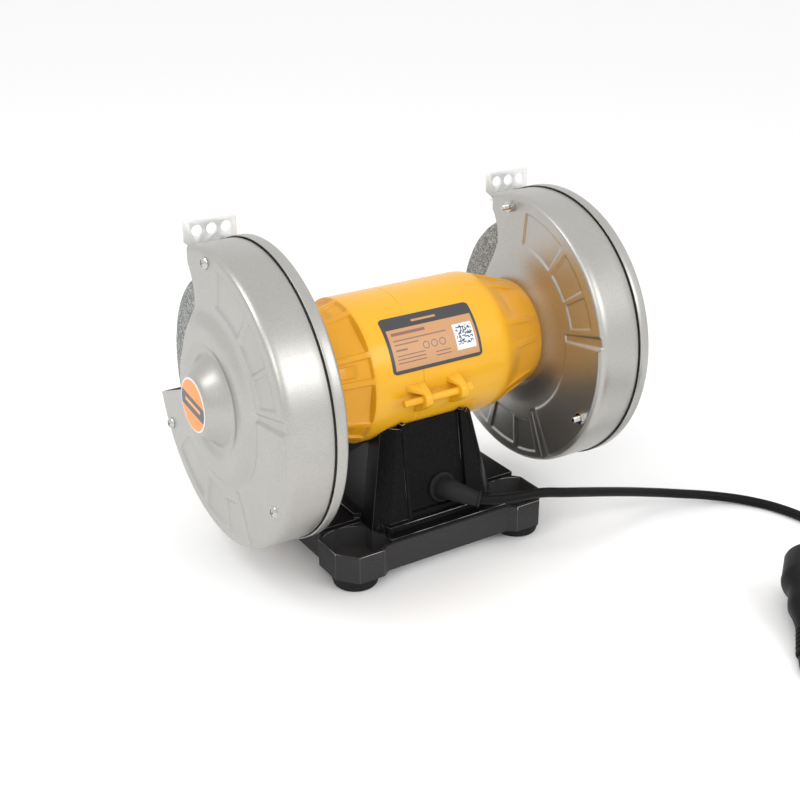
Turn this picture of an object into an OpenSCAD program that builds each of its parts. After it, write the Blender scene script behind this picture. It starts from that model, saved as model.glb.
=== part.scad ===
// Bench grinder, 150 mm wheels, 150 W class.
// Frame: +X along the shaft, -Y towards the operator, +Z up, origin on the bench
// at the middle of the four bench holes. Millimetres.

/* [Overall] */
// Height of the shaft above the bench
shaft_h = 121; // [118:0.5:126]
// Roundness of the plain turned shapes
round_fn = 96; // [48:8:160]

/* [Wheels and shaft] */
// Diameter of each grinding wheel
wheel_d = 150; // [120:1:152]
// Thickness of each grinding wheel
wheel_t = 16; // [12:0.5:18]
// Arbor diameter at the wheels
arbor_d = 12.6; // [10:0.1:13]
// Distance of each wheel's middle plane from the middle of the grinder
wheel_x = 113; // [112:0.5:114]
// Diameter of the clamping flanges
flange_d = 50; // [40:1:56]
// Diameter of the shaft in its bearings
shaft_d = 15; // [15:1:16]
// Diameter of the rotor
rotor_d = 47; // [40:1:48]

/* [Wheel guards] */
// Outer radius of the deep drum
drum_r = 93; // [90:0.5:94]
// Depth of the drum from its seam to its flat face
drum_depth = 30; // [29:0.5:31]
// Depth of the shallow cover from its seam to its flat face
cover_depth = 8.2; // [8:0.1:8.5]
// Thickness of the guard sheet
sheet_t = 1.2; // [1:0.1:1.4]
// Seam plane of the guard on the +X side
near_seam_x = 98.3; // [98:0.1:98.6]
// Seam plane of the guard on the -X side
far_seam_x = -124.1; // [-124.4:0.1:-123.8]
// Radius of the circle of guard screws
guard_screw_r = 85; // [84:0.5:86]
// Angle of the first guard screw on the +X side, from +Y towards +Z
near_screw_a = 91; // [88:0.5:94]
// Angle of the first guard screw on the -X side, from +Y towards +Z
far_screw_a = 94.5; // [91:0.5:95]
// Width of the eye shield bracket
bracket_w = 35; // [33:1:36]
// Diameter of the bracket holes
bracket_hole_d = 7; // [5:0.5:7]
// Spacing of the bracket holes
bracket_pitch = 9.7; // [9:0.1:10]

/* [Motor] */
// Radius of the motor barrel
barrel_r = 47; // [46.5:0.1:47.5]
// Radius of the motor body where it meets the guards
motor_end_r = 35; // [34:0.5:36]
// Plane where the two shells meet
shell_seam_x = 9.5; // [8:0.5:10]
// Wall of the motor shells
shell_t = 3; // [2.5:0.1:3.2]
// Height of the shell clamp bolt from the shaft
clamp_bolt_z = -7.3; // [-8:0.1:-6.5]

/* [Base] */
// Half length of the base along the shaft
base_hx = 79.6; // [79:0.2:80]
// Half width of the base across the shaft
base_hy = 67.6; // [67:0.2:68]
// Height of the deck above the bench
deck_z = 29.5; // [29:0.5:30]
// Height of the four corner blocks above the bench
corner_z = 26.5; // [26:0.5:27]
// Bench hole spacing along the shaft
bench_dx = 126; // [124:1:128]
// Bench hole spacing across the shaft
bench_dy = 102; // [100:1:104]
// Bench hole diameter
bench_hole_d = 7; // [6:0.5:8]
// Height of the rubber feet
foot_h = 8; // [7.5:0.1:8.2]
// Diameter of the rubber feet
foot_d = 30; // [28:1:30]

/* [Mains lead] */
// Diameter of the mains lead
cord_d = 6.4; // [6:0.1:6.8]
// Radius of the lead's coil, to the middle of its two columns of turns
coil_r = 38.4; // [36:0.2:40]

/* [Hidden] */

silver = [0.74, 0.73, 0.70];
bright_zinc = [0.80, 0.80, 0.82];
yellow = [0.93, 0.66, 0.10];
black = [0.07, 0.07, 0.07];
dark_rubber = [0.10, 0.10, 0.10];
grit = [0.45, 0.46, 0.45];
steel = [0.62, 0.63, 0.65];
copper = [0.72, 0.42, 0.22];
orange = [0.90, 0.55, 0.25];

eps = 0.01;
wheel_r = wheel_d / 2;
wheel_in = wheel_x - wheel_t / 2;
wheel_out = wheel_x + wheel_t / 2;
arbor_r = arbor_d / 2;
arbor_clear = 0.05;
shaft_r = shaft_d / 2;
blotter_t = 0.8;
flange_t = 4;
inner_flange_t = 2.7;
nut_t = 8;
shaft_end_x = 136;
shoulder_x = wheel_in - blotter_t - inner_flange_t;
outer_flange_x = wheel_out + blotter_t;
nut_x = outer_flange_x + flange_t;

motor_near_x = near_seam_x - cover_depth;
hub_rise = 3;
clamp_bolt_y = 52.5;
clamp_bolt_r = 2.5;
ear_t = 5.5;
near_ear_x = shell_seam_x + ear_t;
far_ear_x = -17;
motor_far_x = far_seam_x + drum_depth + hub_rise;
bearing_w = 11;
bearing_r = 17.5;
bearing_race_t = 3.2;
bearing_x = 75;
bearing_gap = 0.08;
stator_r = barrel_r - shell_t;
stator_half = 26;
winding_len = 13;

base_z0 = foot_h;
pedestal_top_z = shaft_h - 28.7;
pedestal_hx0 = 46;
pedestal_hx1 = 33.5;
pedestal_hy0 = 52;
pedestal_hy1 = 42.2;
pedestal_chamfer = 8;
// Half widths across the chamfered corners, at the foot and at the top.
corner0 = (pedestal_hx0 + pedestal_hy0 - pedestal_chamfer) / sqrt(2);
corner1 = (pedestal_hx1 + pedestal_hy1 - pedestal_chamfer) / sqrt(2);
pedestal_wall = 5;
panel_depth = 2.6;
plinth_z = deck_z + 3;
foot_x = bench_dx / 2;
foot_y = bench_dy / 2;
neck_r = 7;
pocket_floor = 4;
pocket_r = 22;
pocket_rim = 2.4;
foot_ledge = 0.4;
plate_hole_r = 1.8;
plate_t = 1.5;
plate_gap = 0.2;
// Half sizes of the two crossing spaces under the deck.
under_x = [38, 72];
under_y = [60.5, 27];
plate_screw_x = 31.5;
plate_screw_y = 53;

switch_z = 56;
switch_y = -56;
switch_w = 30;
switch_tall = 22;
rocker_w = 20;
rocker_tall = 15;
rocker_tilt = 9;

// Slope of the column's rear face, from upright.
column_lean = atan((pedestal_hy0 - pedestal_hy1) / (pedestal_top_z - deck_z));
function face_y(z) = pedestal_hy0 - (z - deck_z) * tan(column_lean);
panel_z = deck_z + 6;
gland_z = 46;
gland_at = [-4.5, face_y(gland_z) - panel_depth, gland_z];
gland_r = 10;
gland_t = 2.6;
gland_dir = [0, cos(column_lean), sin(column_lean)];
BOOT_ROUTE = [gland_at + 1.2 * gland_dir, gland_at + 4 * gland_dir, [-6, 55, 47], [-9, 59.2, 45.9],
    [-12.6, 62.4, 44.2], [-16.2, 64.7, 42.7], [-19, 67, 42]];
BOOT_RADII = [7.8, 7.5, 6.9, 6.3, 5.6, 5, 4.9];
cord_r = cord_d / 2;
cord_sides = 10;
coil_at = [-197, 278];
coil_layers = 3;

// Route of the lead from the boot to the coil, along its centre line.
ROUTE_OUT = [[-19, 67, 42], [-22.5, 70, 41.8], [-27, 74.5, 42.5], [-33, 79.5, 44],
    [-40, 83, 45], [-55, 85, 44], [-75, 87, 39.5], [-98, 86.5, 33], [-123, 85.5, 25.5],
    [-148, 85.5, 18], [-177, 90, 10.5], [-202, 99, 5.5], [-221, 116, 3.5],
    [-231, 138, 3.5], [-235, 165, 3.5], [-237.5, 200, 3.5], [-238.5, 240, 3.5],
    [-238.6, 253.5, 3.5]];
// Route of the lead from the coil back to the plug.
ROUTE_BACK = [[-168, 317.2, 11.4], [-160, 316, 9], [-141, 314, 5],
    [-122, 312, 3.5], [-111, 309, 3.5], [-102, 301, 3.5], [-97, 292, 3.5],
    [-96.5, 281, 3.5], [-100, 270, 3.5], [-107, 262, 3.5]];

plug_tail = [-107, 262, 3.5];
plug_heading = 218;
plug_tilt = 16;
plug_len = 75;

// ---------- helpers ----------

// Local x, y, z become Y, Z, X, so an outline drawn in (y, z) is swept along X.
module along_x() {
    rotate([90, 0, 90]) children();
}

// A body turned about the shaft line, from a list of [radius, x] points.
module turned(points) {
    translate([0, 0, shaft_h]) along_x() rotate_extrude($fn = round_fn) polygon(points);
}

// A ring about the shaft line between two radii and two x planes.
module ring(r_out, r_in, x0, x1) {
    turned([[r_in, x0], [r_out, x0], [r_out, x1], [r_in, x1]]);
}

module disc(r, x0, x1) {
    translate([x0, 0, shaft_h]) rotate([0, 90, 0]) cylinder(r = r, h = x1 - x0, $fn = round_fn);
}

// A straight round pin along X at a place given from the shaft line.
module pin_x(r, x0, x1, y, z) {
    translate([x0, y, shaft_h + z]) rotate([0, 90, 0]) cylinder(r = r, h = x1 - x0, $fn = 32);
}

module hex_x(across, x0, x1, y, z) {
    translate([x0, y, shaft_h + z])
        rotate([0, 90, 0]) cylinder(r = across / sqrt(3), h = x1 - x0, $fn = 6);
}

// Copies for the three guard screws, the first of them at an angle.
module at_guard_screws(first) {
    for (i = [0:2]) {
        a = first + 120 * i;
        translate([0, guard_screw_r * cos(a), guard_screw_r * sin(a)]) children();
    }
}

function unit(v) = v / norm(v);

// Rings of a round tube that follows a list of points.
function tangent(p, i) = unit(p[min(i + 1, len(p) - 1)] - p[max(i - 1, 0)]);
function side_of(t) = unit(cross(t, [0, 0, 1]));
function ring_points(c, t, r, n) = let (s = side_of(t), u = cross(s, t))
    [for (k = [0:n - 1]) c + r * cos(360 * k / n) * s + r * sin(360 * k / n) * u];

// A tube with a radius given for each of its points.
module tube(points, radii, n) {
    m = len(points);
    rings = [for (i = [0:m - 1]) each ring_points(points[i], tangent(points, i), radii[i], n)];
    sides = [for (i = [0:m - 2]) for (k = [0:n - 1])
        [i * n + k, i * n + (k + 1) % n, (i + 1) * n + (k + 1) % n, (i + 1) * n + k]];
    polyhedron(points = rings, faces = concat(sides,
        [[for (k = [n - 1:-1:0]) k]], [[for (k = [0:n - 1]) (m - 1) * n + k]]));
}

// ---------- base ----------

// Outline of the base in plan: long walls set in between proud corner blocks.
module base_outline(inset = 0) {
    hx = base_hx - inset;
    hy = base_hy - inset;
    ch = 10.3;
    corner_in_x = 51.4 + inset;
    wall_in_x = 46.2 + inset;
    wall_y = 63.5 - inset;
    side_in_y = 34 + inset;
    side_y = 29 + inset;
    side_x = 75.5 - inset;
    q = [[side_x, side_y], [hx, side_in_y], [hx, hy - ch * 1.2], [hx - ch, hy],
        [corner_in_x, hy], [wall_in_x, wall_y]];
    n = len(q);
    polygon(concat(
        [for (p = q) p],
        [for (i = [n - 1:-1:0]) [-q[i][0], q[i][1]]],
        [for (p = q) [-p[0], -p[1]]],
        [for (i = [n - 1:-1:0]) [q[i][0], -q[i][1]]]));
}

module at_feet() {
    for (sx = [-1, 1]) {
        for (sy = [-1, 1]) {
            translate([sx * foot_x, sy * foot_y, 0]) children();
        }
    }
}

// Tapered column between two heights, drawn in by wall on every side.
module column(wall, z0, z1) {
    intersection() {
        along_x() linear_extrude(height = 120, center = true)
            polygon([[-pedestal_hy0 + wall, deck_z], [-pedestal_hy1 + wall, pedestal_top_z],
                [pedestal_hy1 - wall, pedestal_top_z], [pedestal_hy0 - wall, deck_z]]);
        rotate([90, 0, 0]) linear_extrude(height = 120, center = true)
            polygon([[-pedestal_hx0 + wall, deck_z], [-pedestal_hx1 + wall, pedestal_top_z],
                [pedestal_hx1 - wall, pedestal_top_z], [pedestal_hx0 - wall, deck_z]]);
        column_corners(45, wall);
        column_corners(135, wall);
        translate([0, 0, z0]) linear_extrude(height = z1 - z0) column_plan(wall);
    }
}

// Slab that chamfers two opposite corners of the column along its taper.
module column_corners(turn, wall) {
    rotate([0, 0, turn]) along_x() linear_extrude(height = 160, center = true)
        polygon([[-corner0 + wall, deck_z], [-corner1 + wall, pedestal_top_z],
            [corner1 - wall, pedestal_top_z], [corner0 - wall, deck_z]]);
}

// Plan of the column at its foot, with chamfered corners.
module column_plan(wall) {
    x = pedestal_hx0 - wall;
    y = pedestal_hy0 - wall;
    c = pedestal_chamfer;
    polygon([[x - c, y], [x, y - c], [x, c - y], [x - c, -y],
        [c - x, -y], [-x, c - y], [-x, y - c], [c - x, y]]);
}

// Shallow recess in the rear and front faces, tapered like the column.
module panel_recess() {
    for (s = [-1, 1]) {
        intersection() {
            along_x() linear_extrude(height = 80, center = true)
                polygon([[s * (face_y(panel_z) - panel_depth), panel_z],
                    [s * (face_y(shaft_h) - panel_depth), shaft_h],
                    [s * (pedestal_hy0 + 20), shaft_h],
                    [s * (pedestal_hy0 + 20), panel_z]]);
            rotate([90, 0, 0]) linear_extrude(height = 160, center = true)
                polygon([[-22, panel_z], [-20, shaft_h], [20, shaft_h], [22, panel_z]]);
        }
    }
}

// Round pockets at the corners, kept off the rim and off the foot of the column.
module corner_pockets() {
    difference() {
        intersection() {
            at_feet() translate([0, 0, base_z0 + pocket_floor])
                linear_extrude(height = deck_z) circle(r = pocket_r, $fn = 64);
            translate([0, 0, base_z0]) linear_extrude(height = deck_z) base_outline(pocket_rim);
        }
        linear_extrude(height = 2 * deck_z) column_plan(-foot_ledge);
    }
}

module base() {
    color(black) difference() {
        union() {
            difference() {
                union() {
                    deck();
                    translate([0, 0, deck_z - eps]) linear_extrude(height = plinth_z - deck_z) plinth_plan();
                }
                corner_pockets();
            }
            translate([0, 0, base_z0]) linear_extrude(height = deck_z - base_z0) column_plan(0);
            difference() {
                column(0, deck_z, pedestal_top_z);
                panel_recess();
            }
            switch_boss();
        }
        disc(barrel_r, -70, 70);
        // space under the deck
        for (i = [0, 1]) {
            translate([-under_x[i], -under_y[i], base_z0 - 1])
                cube([2 * under_x[i], 2 * under_y[i], deck_z - 3 - base_z0 + 1]);
        }
        // space inside the column
        column(pedestal_wall, deck_z - 4, shaft_h - barrel_r - 5);
        translate([-34, -40, base_z0]) cube([68, 80, deck_z - base_z0 + 6]);
        // floor holes that take the necks of the feet
        at_feet() translate([0, 0, base_z0 - 1]) cylinder(r = neck_r, h = 12, $fn = 48);
        switch_cut();
        // entry of the mains lead, along the boot
        at_gland() translate([0, 0, -20]) cylinder(r = 6, h = 40, $fn = 32);
        motor_screw_holes(2.75);
    }
    color(black) screw_posts();
}

// Deck with its four corner blocks standing lower.
module deck() {
    difference() {
        translate([0, 0, base_z0]) linear_extrude(height = deck_z - base_z0) base_outline();
        for (sx = [-1, 1]) {
            for (sy = [-1, 1]) {
                translate([sx * 66, sy * 54, corner_z + 10]) cube([44, 50, 20], center = true);
            }
        }
    }
}

module plinth_plan() {
    polygon([[40, 56], [44, 44], [44, 29], [50, 27], [50, -27], [44, -29], [44, -44], [40, -56],
        [-40, -56], [-44, -44], [-44, -29], [-50, -27], [-50, 27], [-44, 29], [-44, 44], [-40, 56]]);
}

// Upright seat for the switch on the front face.
module switch_boss() {
    translate([-20, switch_y, switch_z - 16]) cube([40, 14, 32]);
}

module switch_cut() {
    translate([-switch_w / 2 + 1.5, switch_y - 1, switch_z - switch_tall / 2 + 1.5])
        cube([switch_w - 3, 30, switch_tall - 3]);
}

module screw_posts() {
    for (sx = [-1, 1]) {
        for (sy = [-1, 1]) {
            translate([sx * plate_screw_x, sy * plate_screw_y, base_z0 + plate_t]) difference() {
                cylinder(r = 4, h = deck_z - 3 - base_z0 - plate_t, $fn = 32);
                translate([0, 0, -1]) cylinder(r = 1.6, h = 11, $fn = 24);
            }
        }
    }
}

module motor_screw_holes(r) {
    for (x = [-22, 22]) {
        translate([x, 0, shaft_h - barrel_r - 8]) cylinder(r = r, h = 16, $fn = 32);
    }
}

module bottom_plate() {
    color(steel) difference() {
        for (i = [0, 1]) {
            translate([plate_gap - under_x[i], plate_gap - under_y[i], base_z0])
                cube([2 * (under_x[i] - plate_gap), 2 * (under_y[i] - plate_gap), plate_t]);
        }
        for (sx = [-1, 1]) {
            for (sy = [-1, 1]) {
                translate([sx * plate_screw_x, sy * plate_screw_y, base_z0 - 1])
                    cylinder(r = plate_hole_r, h = 4, $fn = 24);
            }
        }
    }
}

module bottom_screws() {
    color(bright_zinc) for (sx = [-1, 1]) {
        for (sy = [-1, 1]) {
            translate([sx * plate_screw_x, sy * plate_screw_y, base_z0]) {
                cylinder(r = 1.6, h = 10, $fn = 24);
                translate([0, 0, -2]) cylinder(r = 3.2, h = 2, $fn = 32);
            }
        }
    }
}

module foot(sx, sy) {
    color(dark_rubber) translate([sx * foot_x, sy * foot_y, 0]) difference() {
        union() {
            cylinder(r1 = foot_d / 2 - 1, r2 = foot_d / 2, h = 1.5, $fn = 64);
            translate([0, 0, 1.5]) cylinder(r = foot_d / 2, h = foot_h - 1.5, $fn = 64);
            cylinder(r = neck_r, h = foot_h + pocket_floor, $fn = 48);
            translate([0, 0, foot_h + pocket_floor])
                cylinder(r1 = neck_r + 1.2, r2 = neck_r - 1, h = 2.5, $fn = 48);
        }
        translate([0, 0, -1]) cylinder(d = bench_hole_d, h = 20, $fn = 32);
    }
}

// ---------- motor ----------

// Outside of the motor from the barrel to one end, as [radius, x] points.
function end_profile(start, end) = let (s = sign(end - start)) [
    [barrel_r, start], [barrel_r - 0.5, start + s * 1.5], [barrel_r - 2, start + s * 4],
    [barrel_r - 4.5, start + s * 9], [barrel_r - 6, start + s * 15], [motor_end_r, end]];

module shell(x_seam, x_barrel, x_end) {
    s = sign(x_end - x_seam);
    wall_x = s * (bearing_x + bearing_w);
    outer = concat([[barrel_r, x_seam]], end_profile(x_barrel, x_end));
    inner = [[shaft_r + 1, x_end], [shaft_r + 1, wall_x], [bearing_r, wall_x],
        [bearing_r, s * bearing_x], [bearing_r + 5, s * bearing_x], [bearing_r + 7, s * 80],
        [barrel_r - 13, s * 80], [barrel_r - 4 - shell_t - 3, x_barrel + s * 20],
        [stator_r, x_barrel], [stator_r, x_seam]];
    turned(concat(outer, inner));
}

// An ear that takes the clamp bolt, on both sides of the barrel.
module ears(x0, x1) {
    translate([0, 0, shaft_h]) difference() {
        for (s = [-1, 1]) {
            translate([x0, 0, 0]) along_x() linear_extrude(height = x1 - x0) difference() {
                union() {
                    translate([s * clamp_bolt_y, clamp_bolt_z]) circle(r = 5.6, $fn = 40);
                    translate([0, clamp_bolt_z])
                        polygon([[s * 40, 13], [s * 50, 8], [s * 56, 4.4], [s * 54, -5.3], [s * 40, -13]]);
                }
                circle(r = stator_r, $fn = round_fn);
            }
        }
        for (s = [-1, 1]) {
            translate([x0 - 1, s * clamp_bolt_y, clamp_bolt_z]) rotate([0, 90, 0])
                cylinder(r = clamp_bolt_r + 0.05, h = x1 - x0 + 2, $fn = 32);
        }
    }
}

module motor_shell_near() {
    color(yellow) difference() {
        union() {
            shell(shell_seam_x, 44, motor_near_x);
            ears(shell_seam_x, near_ear_x);
        }
        motor_screw_holes(2.5);
        end_screw_holes(motor_near_x - 9, motor_near_x + 1);
    }
}

module motor_shell_far() {
    color(yellow) difference() {
        union() {
            shell(shell_seam_x, -51, motor_far_x);
            ears(far_ear_x, far_ear_x + ear_t);
        }
        motor_screw_holes(2.5);
        end_screw_holes(motor_far_x - 1, motor_far_x + 9);
    }
}

module end_screw_holes(x0, x1) {
    for (a = [30, 150, 270]) {
        pin_x(2, x0, x1, 28 * cos(a), 28 * sin(a));
    }
}

module motor_screws() {
    color(bright_zinc) for (x = [-22, 22]) {
        translate([x, 0, shaft_h - barrel_r - 5]) {
            cylinder(r = 2.5, h = 8, $fn = 32);
            translate([0, 0, -3]) cylinder(r = 4.6, h = 3, $fn = 32);
        }
    }
}

module clamp_bolts() {
    color(yellow) for (s = [-1, 1]) {
        pin_x(clamp_bolt_r, far_ear_x - 4, 28, s * clamp_bolt_y, clamp_bolt_z);
        hex_x(8, far_ear_x - 4, far_ear_x, s * clamp_bolt_y, clamp_bolt_z);
    }
}

module stator_core() {
    color(steel) translate([-stator_half, 0, shaft_h]) along_x() linear_extrude(height = 2 * stator_half)
        difference() {
            circle(r = stator_r, $fn = round_fn);
            circle(r = rotor_d / 2 + 0.5, $fn = round_fn);
            for (i = [0:23]) {
                rotate(i * 15) translate([rotor_d / 2 + 6.5, 0]) square([9, 3], center = true);
            }
        }
}

module winding(x0, x1, s) {
    color(copper) turned([[27, x0], [39, x0], [39, x0 + s * 8], [36, x1], [30, x1], [27, x0 + s * 8]]);
}

module winding_near() {
    winding(stator_half, stator_half + winding_len, 1);
}

module winding_far() {
    winding(-stator_half, -stator_half - winding_len, -1);
}

module bearing_outer(s) {
    x0 = s * bearing_x;
    x1 = s * (bearing_x + bearing_w);
    inner_r = shaft_r + bearing_race_t;
    color(steel) turned([[inner_r + bearing_gap, x0], [bearing_r, x0], [bearing_r, x1],
        [inner_r + bearing_gap, x1]]);
}

module bearing_inner(s) {
    color(bright_zinc) ring(shaft_r + bearing_race_t, shaft_r,
        s > 0 ? bearing_x : -bearing_x - bearing_w, s > 0 ? bearing_x + bearing_w : -bearing_x);
}

module rating_label() {
    color(orange) translate([-35, 0, shaft_h]) along_x() linear_extrude(height = 66)
        intersection() {
            difference() {
                circle(r = barrel_r + 0.4, $fn = 160);
                circle(r = barrel_r, $fn = 160);
            }
            polygon([[0, 0], [90 * cos(12), 90 * sin(12)], [90 * cos(56), 90 * sin(56)]]);
        }
}

// ---------- wheel guards ----------

// Mouth of a guard in (y, z), from the bracket down to the lower front wall.
MOUTH = [[-40.6, 130], [-40.6, 83.6], [-27.5, 79.5], [-22, 68], [-20, 58], [-43, 8], [-44, -9],
    [-86, -26], [-130, -42], [-130, 130]];

module mouth(x0, x1) {
    translate([x0, 0, shaft_h]) along_x() linear_extrude(height = x1 - x0) polygon(MOUTH);
}

// Outside of the drum as [radius, distance from the seam] points, rim first.
function drum_outside(hub) = concat([[drum_r - 1.1, 0.6], [drum_r, 1.2], [drum_r, 24],
    [drum_r - 0.4, 26.5], [drum_r - 1.3, 28.6], [drum_r - 2.8, drum_depth], [57, drum_depth],
    [52, drum_depth + 1.6]], hub);
near_hub = [[45, drum_depth + 3.2], [38, drum_depth + 3.2], [31, drum_depth + 2],
    [28.5, drum_depth + 2.4], [26, drum_depth + 4.6], [20, drum_depth + 12.6],
    [17.8, drum_depth + 14], [0, drum_depth + 14]];
far_hub = [[44, drum_depth + hub_rise], [shaft_r + 4, drum_depth + hub_rise]];

module drum(seam, hub) {
    outside = drum_outside(hub);
    n = len(outside);
    inside = [for (i = [n - 1:-1:6]) [outside[i][0], outside[i][1] - sheet_t]];
    corner = [[drum_r - 2.8, drum_depth - sheet_t], [drum_r - sheet_t - 0.8, 27.2],
        [drum_r - sheet_t, 24], [drum_r - sheet_t, 2]];
    lip = [[drum_r - 1.1 - sheet_t, 0.8], [drum_r - 1.1 - sheet_t, -cover_depth + sheet_t],
        [drum_r - 1.1, -cover_depth + sheet_t]];
    points = concat(outside, inside, corner, lip);
    turned([for (p = points) [p[0], seam + p[1]]]);
}

// Outside of the cover, rim first. The hub list runs from the flat face inwards.
module cover(seam, hub) {
    rim_r = drum_r + 1.2;
    outside = concat([[rim_r, -0.4], [rim_r, -cover_depth + 2.2], [rim_r - 0.7, -cover_depth + 0.7],
        [rim_r - 2.2, -cover_depth]], hub);
    n = len(outside);
    inside = [for (i = [n - 1:-1:4]) [outside[i][0], outside[i][1] + sheet_t]];
    back = [[rim_r - 2.4, -cover_depth + sheet_t], [drum_r - 1.1, -cover_depth + sheet_t],
        [drum_r - 1.1, -0.4]];
    points = concat(outside, inside, back);
    turned([for (p = points) [p[0], seam + p[1]]]);
}

module guard_holes(seam, first) {
    translate([0, 0, shaft_h]) at_guard_screws(first) translate([seam - 20, 0, 0]) rotate([0, 90, 0])
        cylinder(r = 2.2, h = 70, $fn = 32);
}

module mount_holes(x) {
    for (a = [30, 150, 270]) {
        pin_x(2.2, x - 5, x + 5, 28 * cos(a), 28 * sin(a));
    }
}

module guard_drum_near() {
    color(silver) difference() {
        drum(near_seam_x, near_hub);
        mouth(near_seam_x - 20, near_seam_x + 60);
        guard_holes(near_seam_x, near_screw_a);
    }
}

module guard_drum_far() {
    color(silver) difference() {
        drum(far_seam_x, far_hub);
        mouth(far_seam_x - 20, far_seam_x + 60);
        guard_holes(far_seam_x, far_screw_a);
        mount_holes(motor_far_x);
    }
}

module guard_cover_near() {
    color(silver) difference() {
        cover(near_seam_x, [[shaft_r + 4, -cover_depth]]);
        mouth(near_seam_x - 20, near_seam_x + 60);
        guard_holes(near_seam_x, near_screw_a);
        mount_holes(motor_near_x);
    }
}

module guard_cover_far() {
    hub = [[45, -cover_depth], [40, -cover_depth - 1.6], [34, -cover_depth - 2],
        [30, -cover_depth - 3], [22, -cover_depth - 12], [19, -cover_depth - 14],
        [0, -cover_depth - 14]];
    color(silver) difference() {
        cover(far_seam_x, hub);
        mouth(far_seam_x - 20, far_seam_x + 60);
        guard_holes(far_seam_x, far_screw_a);
    }
}

// Plate for an eye shield: a strip under the drum wall, bent up at the mouth.
module shield_bracket(seam) {
    plate_y = -41.8;
    strip_r = drum_r - 1.1 - sheet_t;
    color(bright_zinc) difference() {
        union() {
            translate([seam - 6.5, 0, shaft_h]) along_x() linear_extrude(height = 29)
                intersection() {
                    difference() {
                        circle(r = strip_r, $fn = 160);
                        circle(r = strip_r - 1.2, $fn = 160);
                    }
                    translate([plate_y, 70]) square([14, 30]);
                }
            translate([0, plate_y, shaft_h]) rotate([90, 0, 0]) mirror([0, 0, 1])
                linear_extrude(height = 1.2) bracket_plate(seam);
        }
        for (i = [-1:1]) {
            translate([seam + 7.5 + i * bracket_pitch, 0, shaft_h + 92.5]) rotate([90, 0, 0])
                cylinder(d = bracket_hole_d, h = 100, $fn = 40);
        }
    }
}

module bracket_plate(seam) {
    x0 = seam - 9;
    top = 99.5;
    low = 79.5;
    union() {
        translate([x0, low]) square([bracket_w, top - low - 2]);
        translate([x0 + 2, low]) square([bracket_w - 4, top - low]);
        for (x = [x0 + 2, x0 + bracket_w - 2]) {
            translate([x, top - 2]) circle(r = 2, $fn = 32);
        }
    }
}

// Long screws through a guard. The head sits at x_head and the tip ends at x_tip.
module guard_screws(x_head, x_tip, first) {
    s = sign(x_head - x_tip);
    color(bright_zinc) translate([0, 0, shaft_h]) at_guard_screws(first) {
        translate([min(x_head, x_tip), 0, 0]) rotate([0, 90, 0])
            cylinder(r = 2, h = abs(x_head - x_tip), $fn = 32);
        difference() {
            translate([x_head, 0, 0]) rotate([0, s * 90, 0]) intersection() {
                translate([0, 0, -3.2]) sphere(r = 6, $fn = 48);
                cylinder(r = 4, h = 6, $fn = 48);
            }
            for (a = [0, 90]) {
                translate([x_head + s * 3, 0, 0]) rotate([a, 0, 0]) cube([3, 1, 4.6], center = true);
            }
        }
    }
}

module guard_nuts(x0, x1, first) {
    color(bright_zinc) translate([0, 0, shaft_h]) at_guard_screws(first) difference() {
        translate([x0, 0, 0]) rotate([0, 90, 0]) cylinder(r = 4.04, h = x1 - x0, $fn = 6);
        translate([x0 - 1, 0, 0]) rotate([0, 90, 0]) cylinder(r = 2, h = x1 - x0 + 2, $fn = 32);
    }
}

module guard_mount_screws() {
    color(bright_zinc) for (a = [30, 150, 270]) {
        y = 28 * cos(a);
        z = 28 * sin(a);
        pin_x(2, motor_near_x - 8, motor_near_x + sheet_t, y, z);
        pin_x(3.8, motor_near_x + sheet_t, motor_near_x + sheet_t + 2.4, y, z);
        pin_x(2, motor_far_x - sheet_t, motor_far_x + 8, y, z);
        pin_x(3.8, motor_far_x - sheet_t - 2.4, motor_far_x - sheet_t, y, z);
    }
}

module hub_badge_near() {
    color(orange) disc(17, near_seam_x + drum_depth + 14, near_seam_x + drum_depth + 14.5);
}

module hub_badge_far() {
    color(orange) disc(17, far_seam_x - cover_depth - 14.5, far_seam_x - cover_depth - 14);
}

// ---------- rotor ----------

module shaft() {
    color(steel) turned([[0, -shaft_end_x], [arbor_r - 1, -shaft_end_x], [arbor_r, -shaft_end_x + 1],
        [arbor_r, -shoulder_x], [shaft_r, -shoulder_x], [shaft_r, -60], [9, -60], [9, 60],
        [shaft_r, 60], [shaft_r, shoulder_x], [arbor_r, shoulder_x], [arbor_r, shaft_end_x - 1],
        [arbor_r - 1, shaft_end_x], [0, shaft_end_x]]);
}

module rotor_core() {
    color(steel) ring(rotor_d / 2, 9, -stator_half, stator_half);
}

module rotor_cage() {
    color(bright_zinc) for (s = [-1, 1]) {
        x = s * (stator_half + 2.5);
        ring(rotor_d / 2 - 1, 12, x - 2.5, x + 2.5);
    }
}

// Pressed clamping flange with a raised rim that bears on the blotter.
module flange(x_wheel, x_back) {
    s = sign(x_back - x_wheel);
    color(steel) turned([[flange_d / 2, x_wheel], [flange_d / 2, x_back - s * 1],
        [flange_d / 2 - 1, x_back], [arbor_r, x_back], [arbor_r, x_wheel + s * 0.8],
        [flange_d / 2 - 8, x_wheel + s * 0.8], [flange_d / 2 - 8, x_wheel]]);
}

module blotters() {
    color(orange) for (x = [-wheel_out - blotter_t, -wheel_in, wheel_in - blotter_t, wheel_out]) {
        ring(flange_d / 2 + 2, arbor_r, x, x + blotter_t);
    }
}

module wheel(x) {
    color(grit) turned([[arbor_r + arbor_clear, x - wheel_t / 2], [wheel_r - 0.8, x - wheel_t / 2],
        [wheel_r, x - wheel_t / 2 + 0.8], [wheel_r, x + wheel_t / 2 - 0.8],
        [wheel_r - 0.8, x + wheel_t / 2], [arbor_r + arbor_clear, x + wheel_t / 2]]);
}

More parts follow.
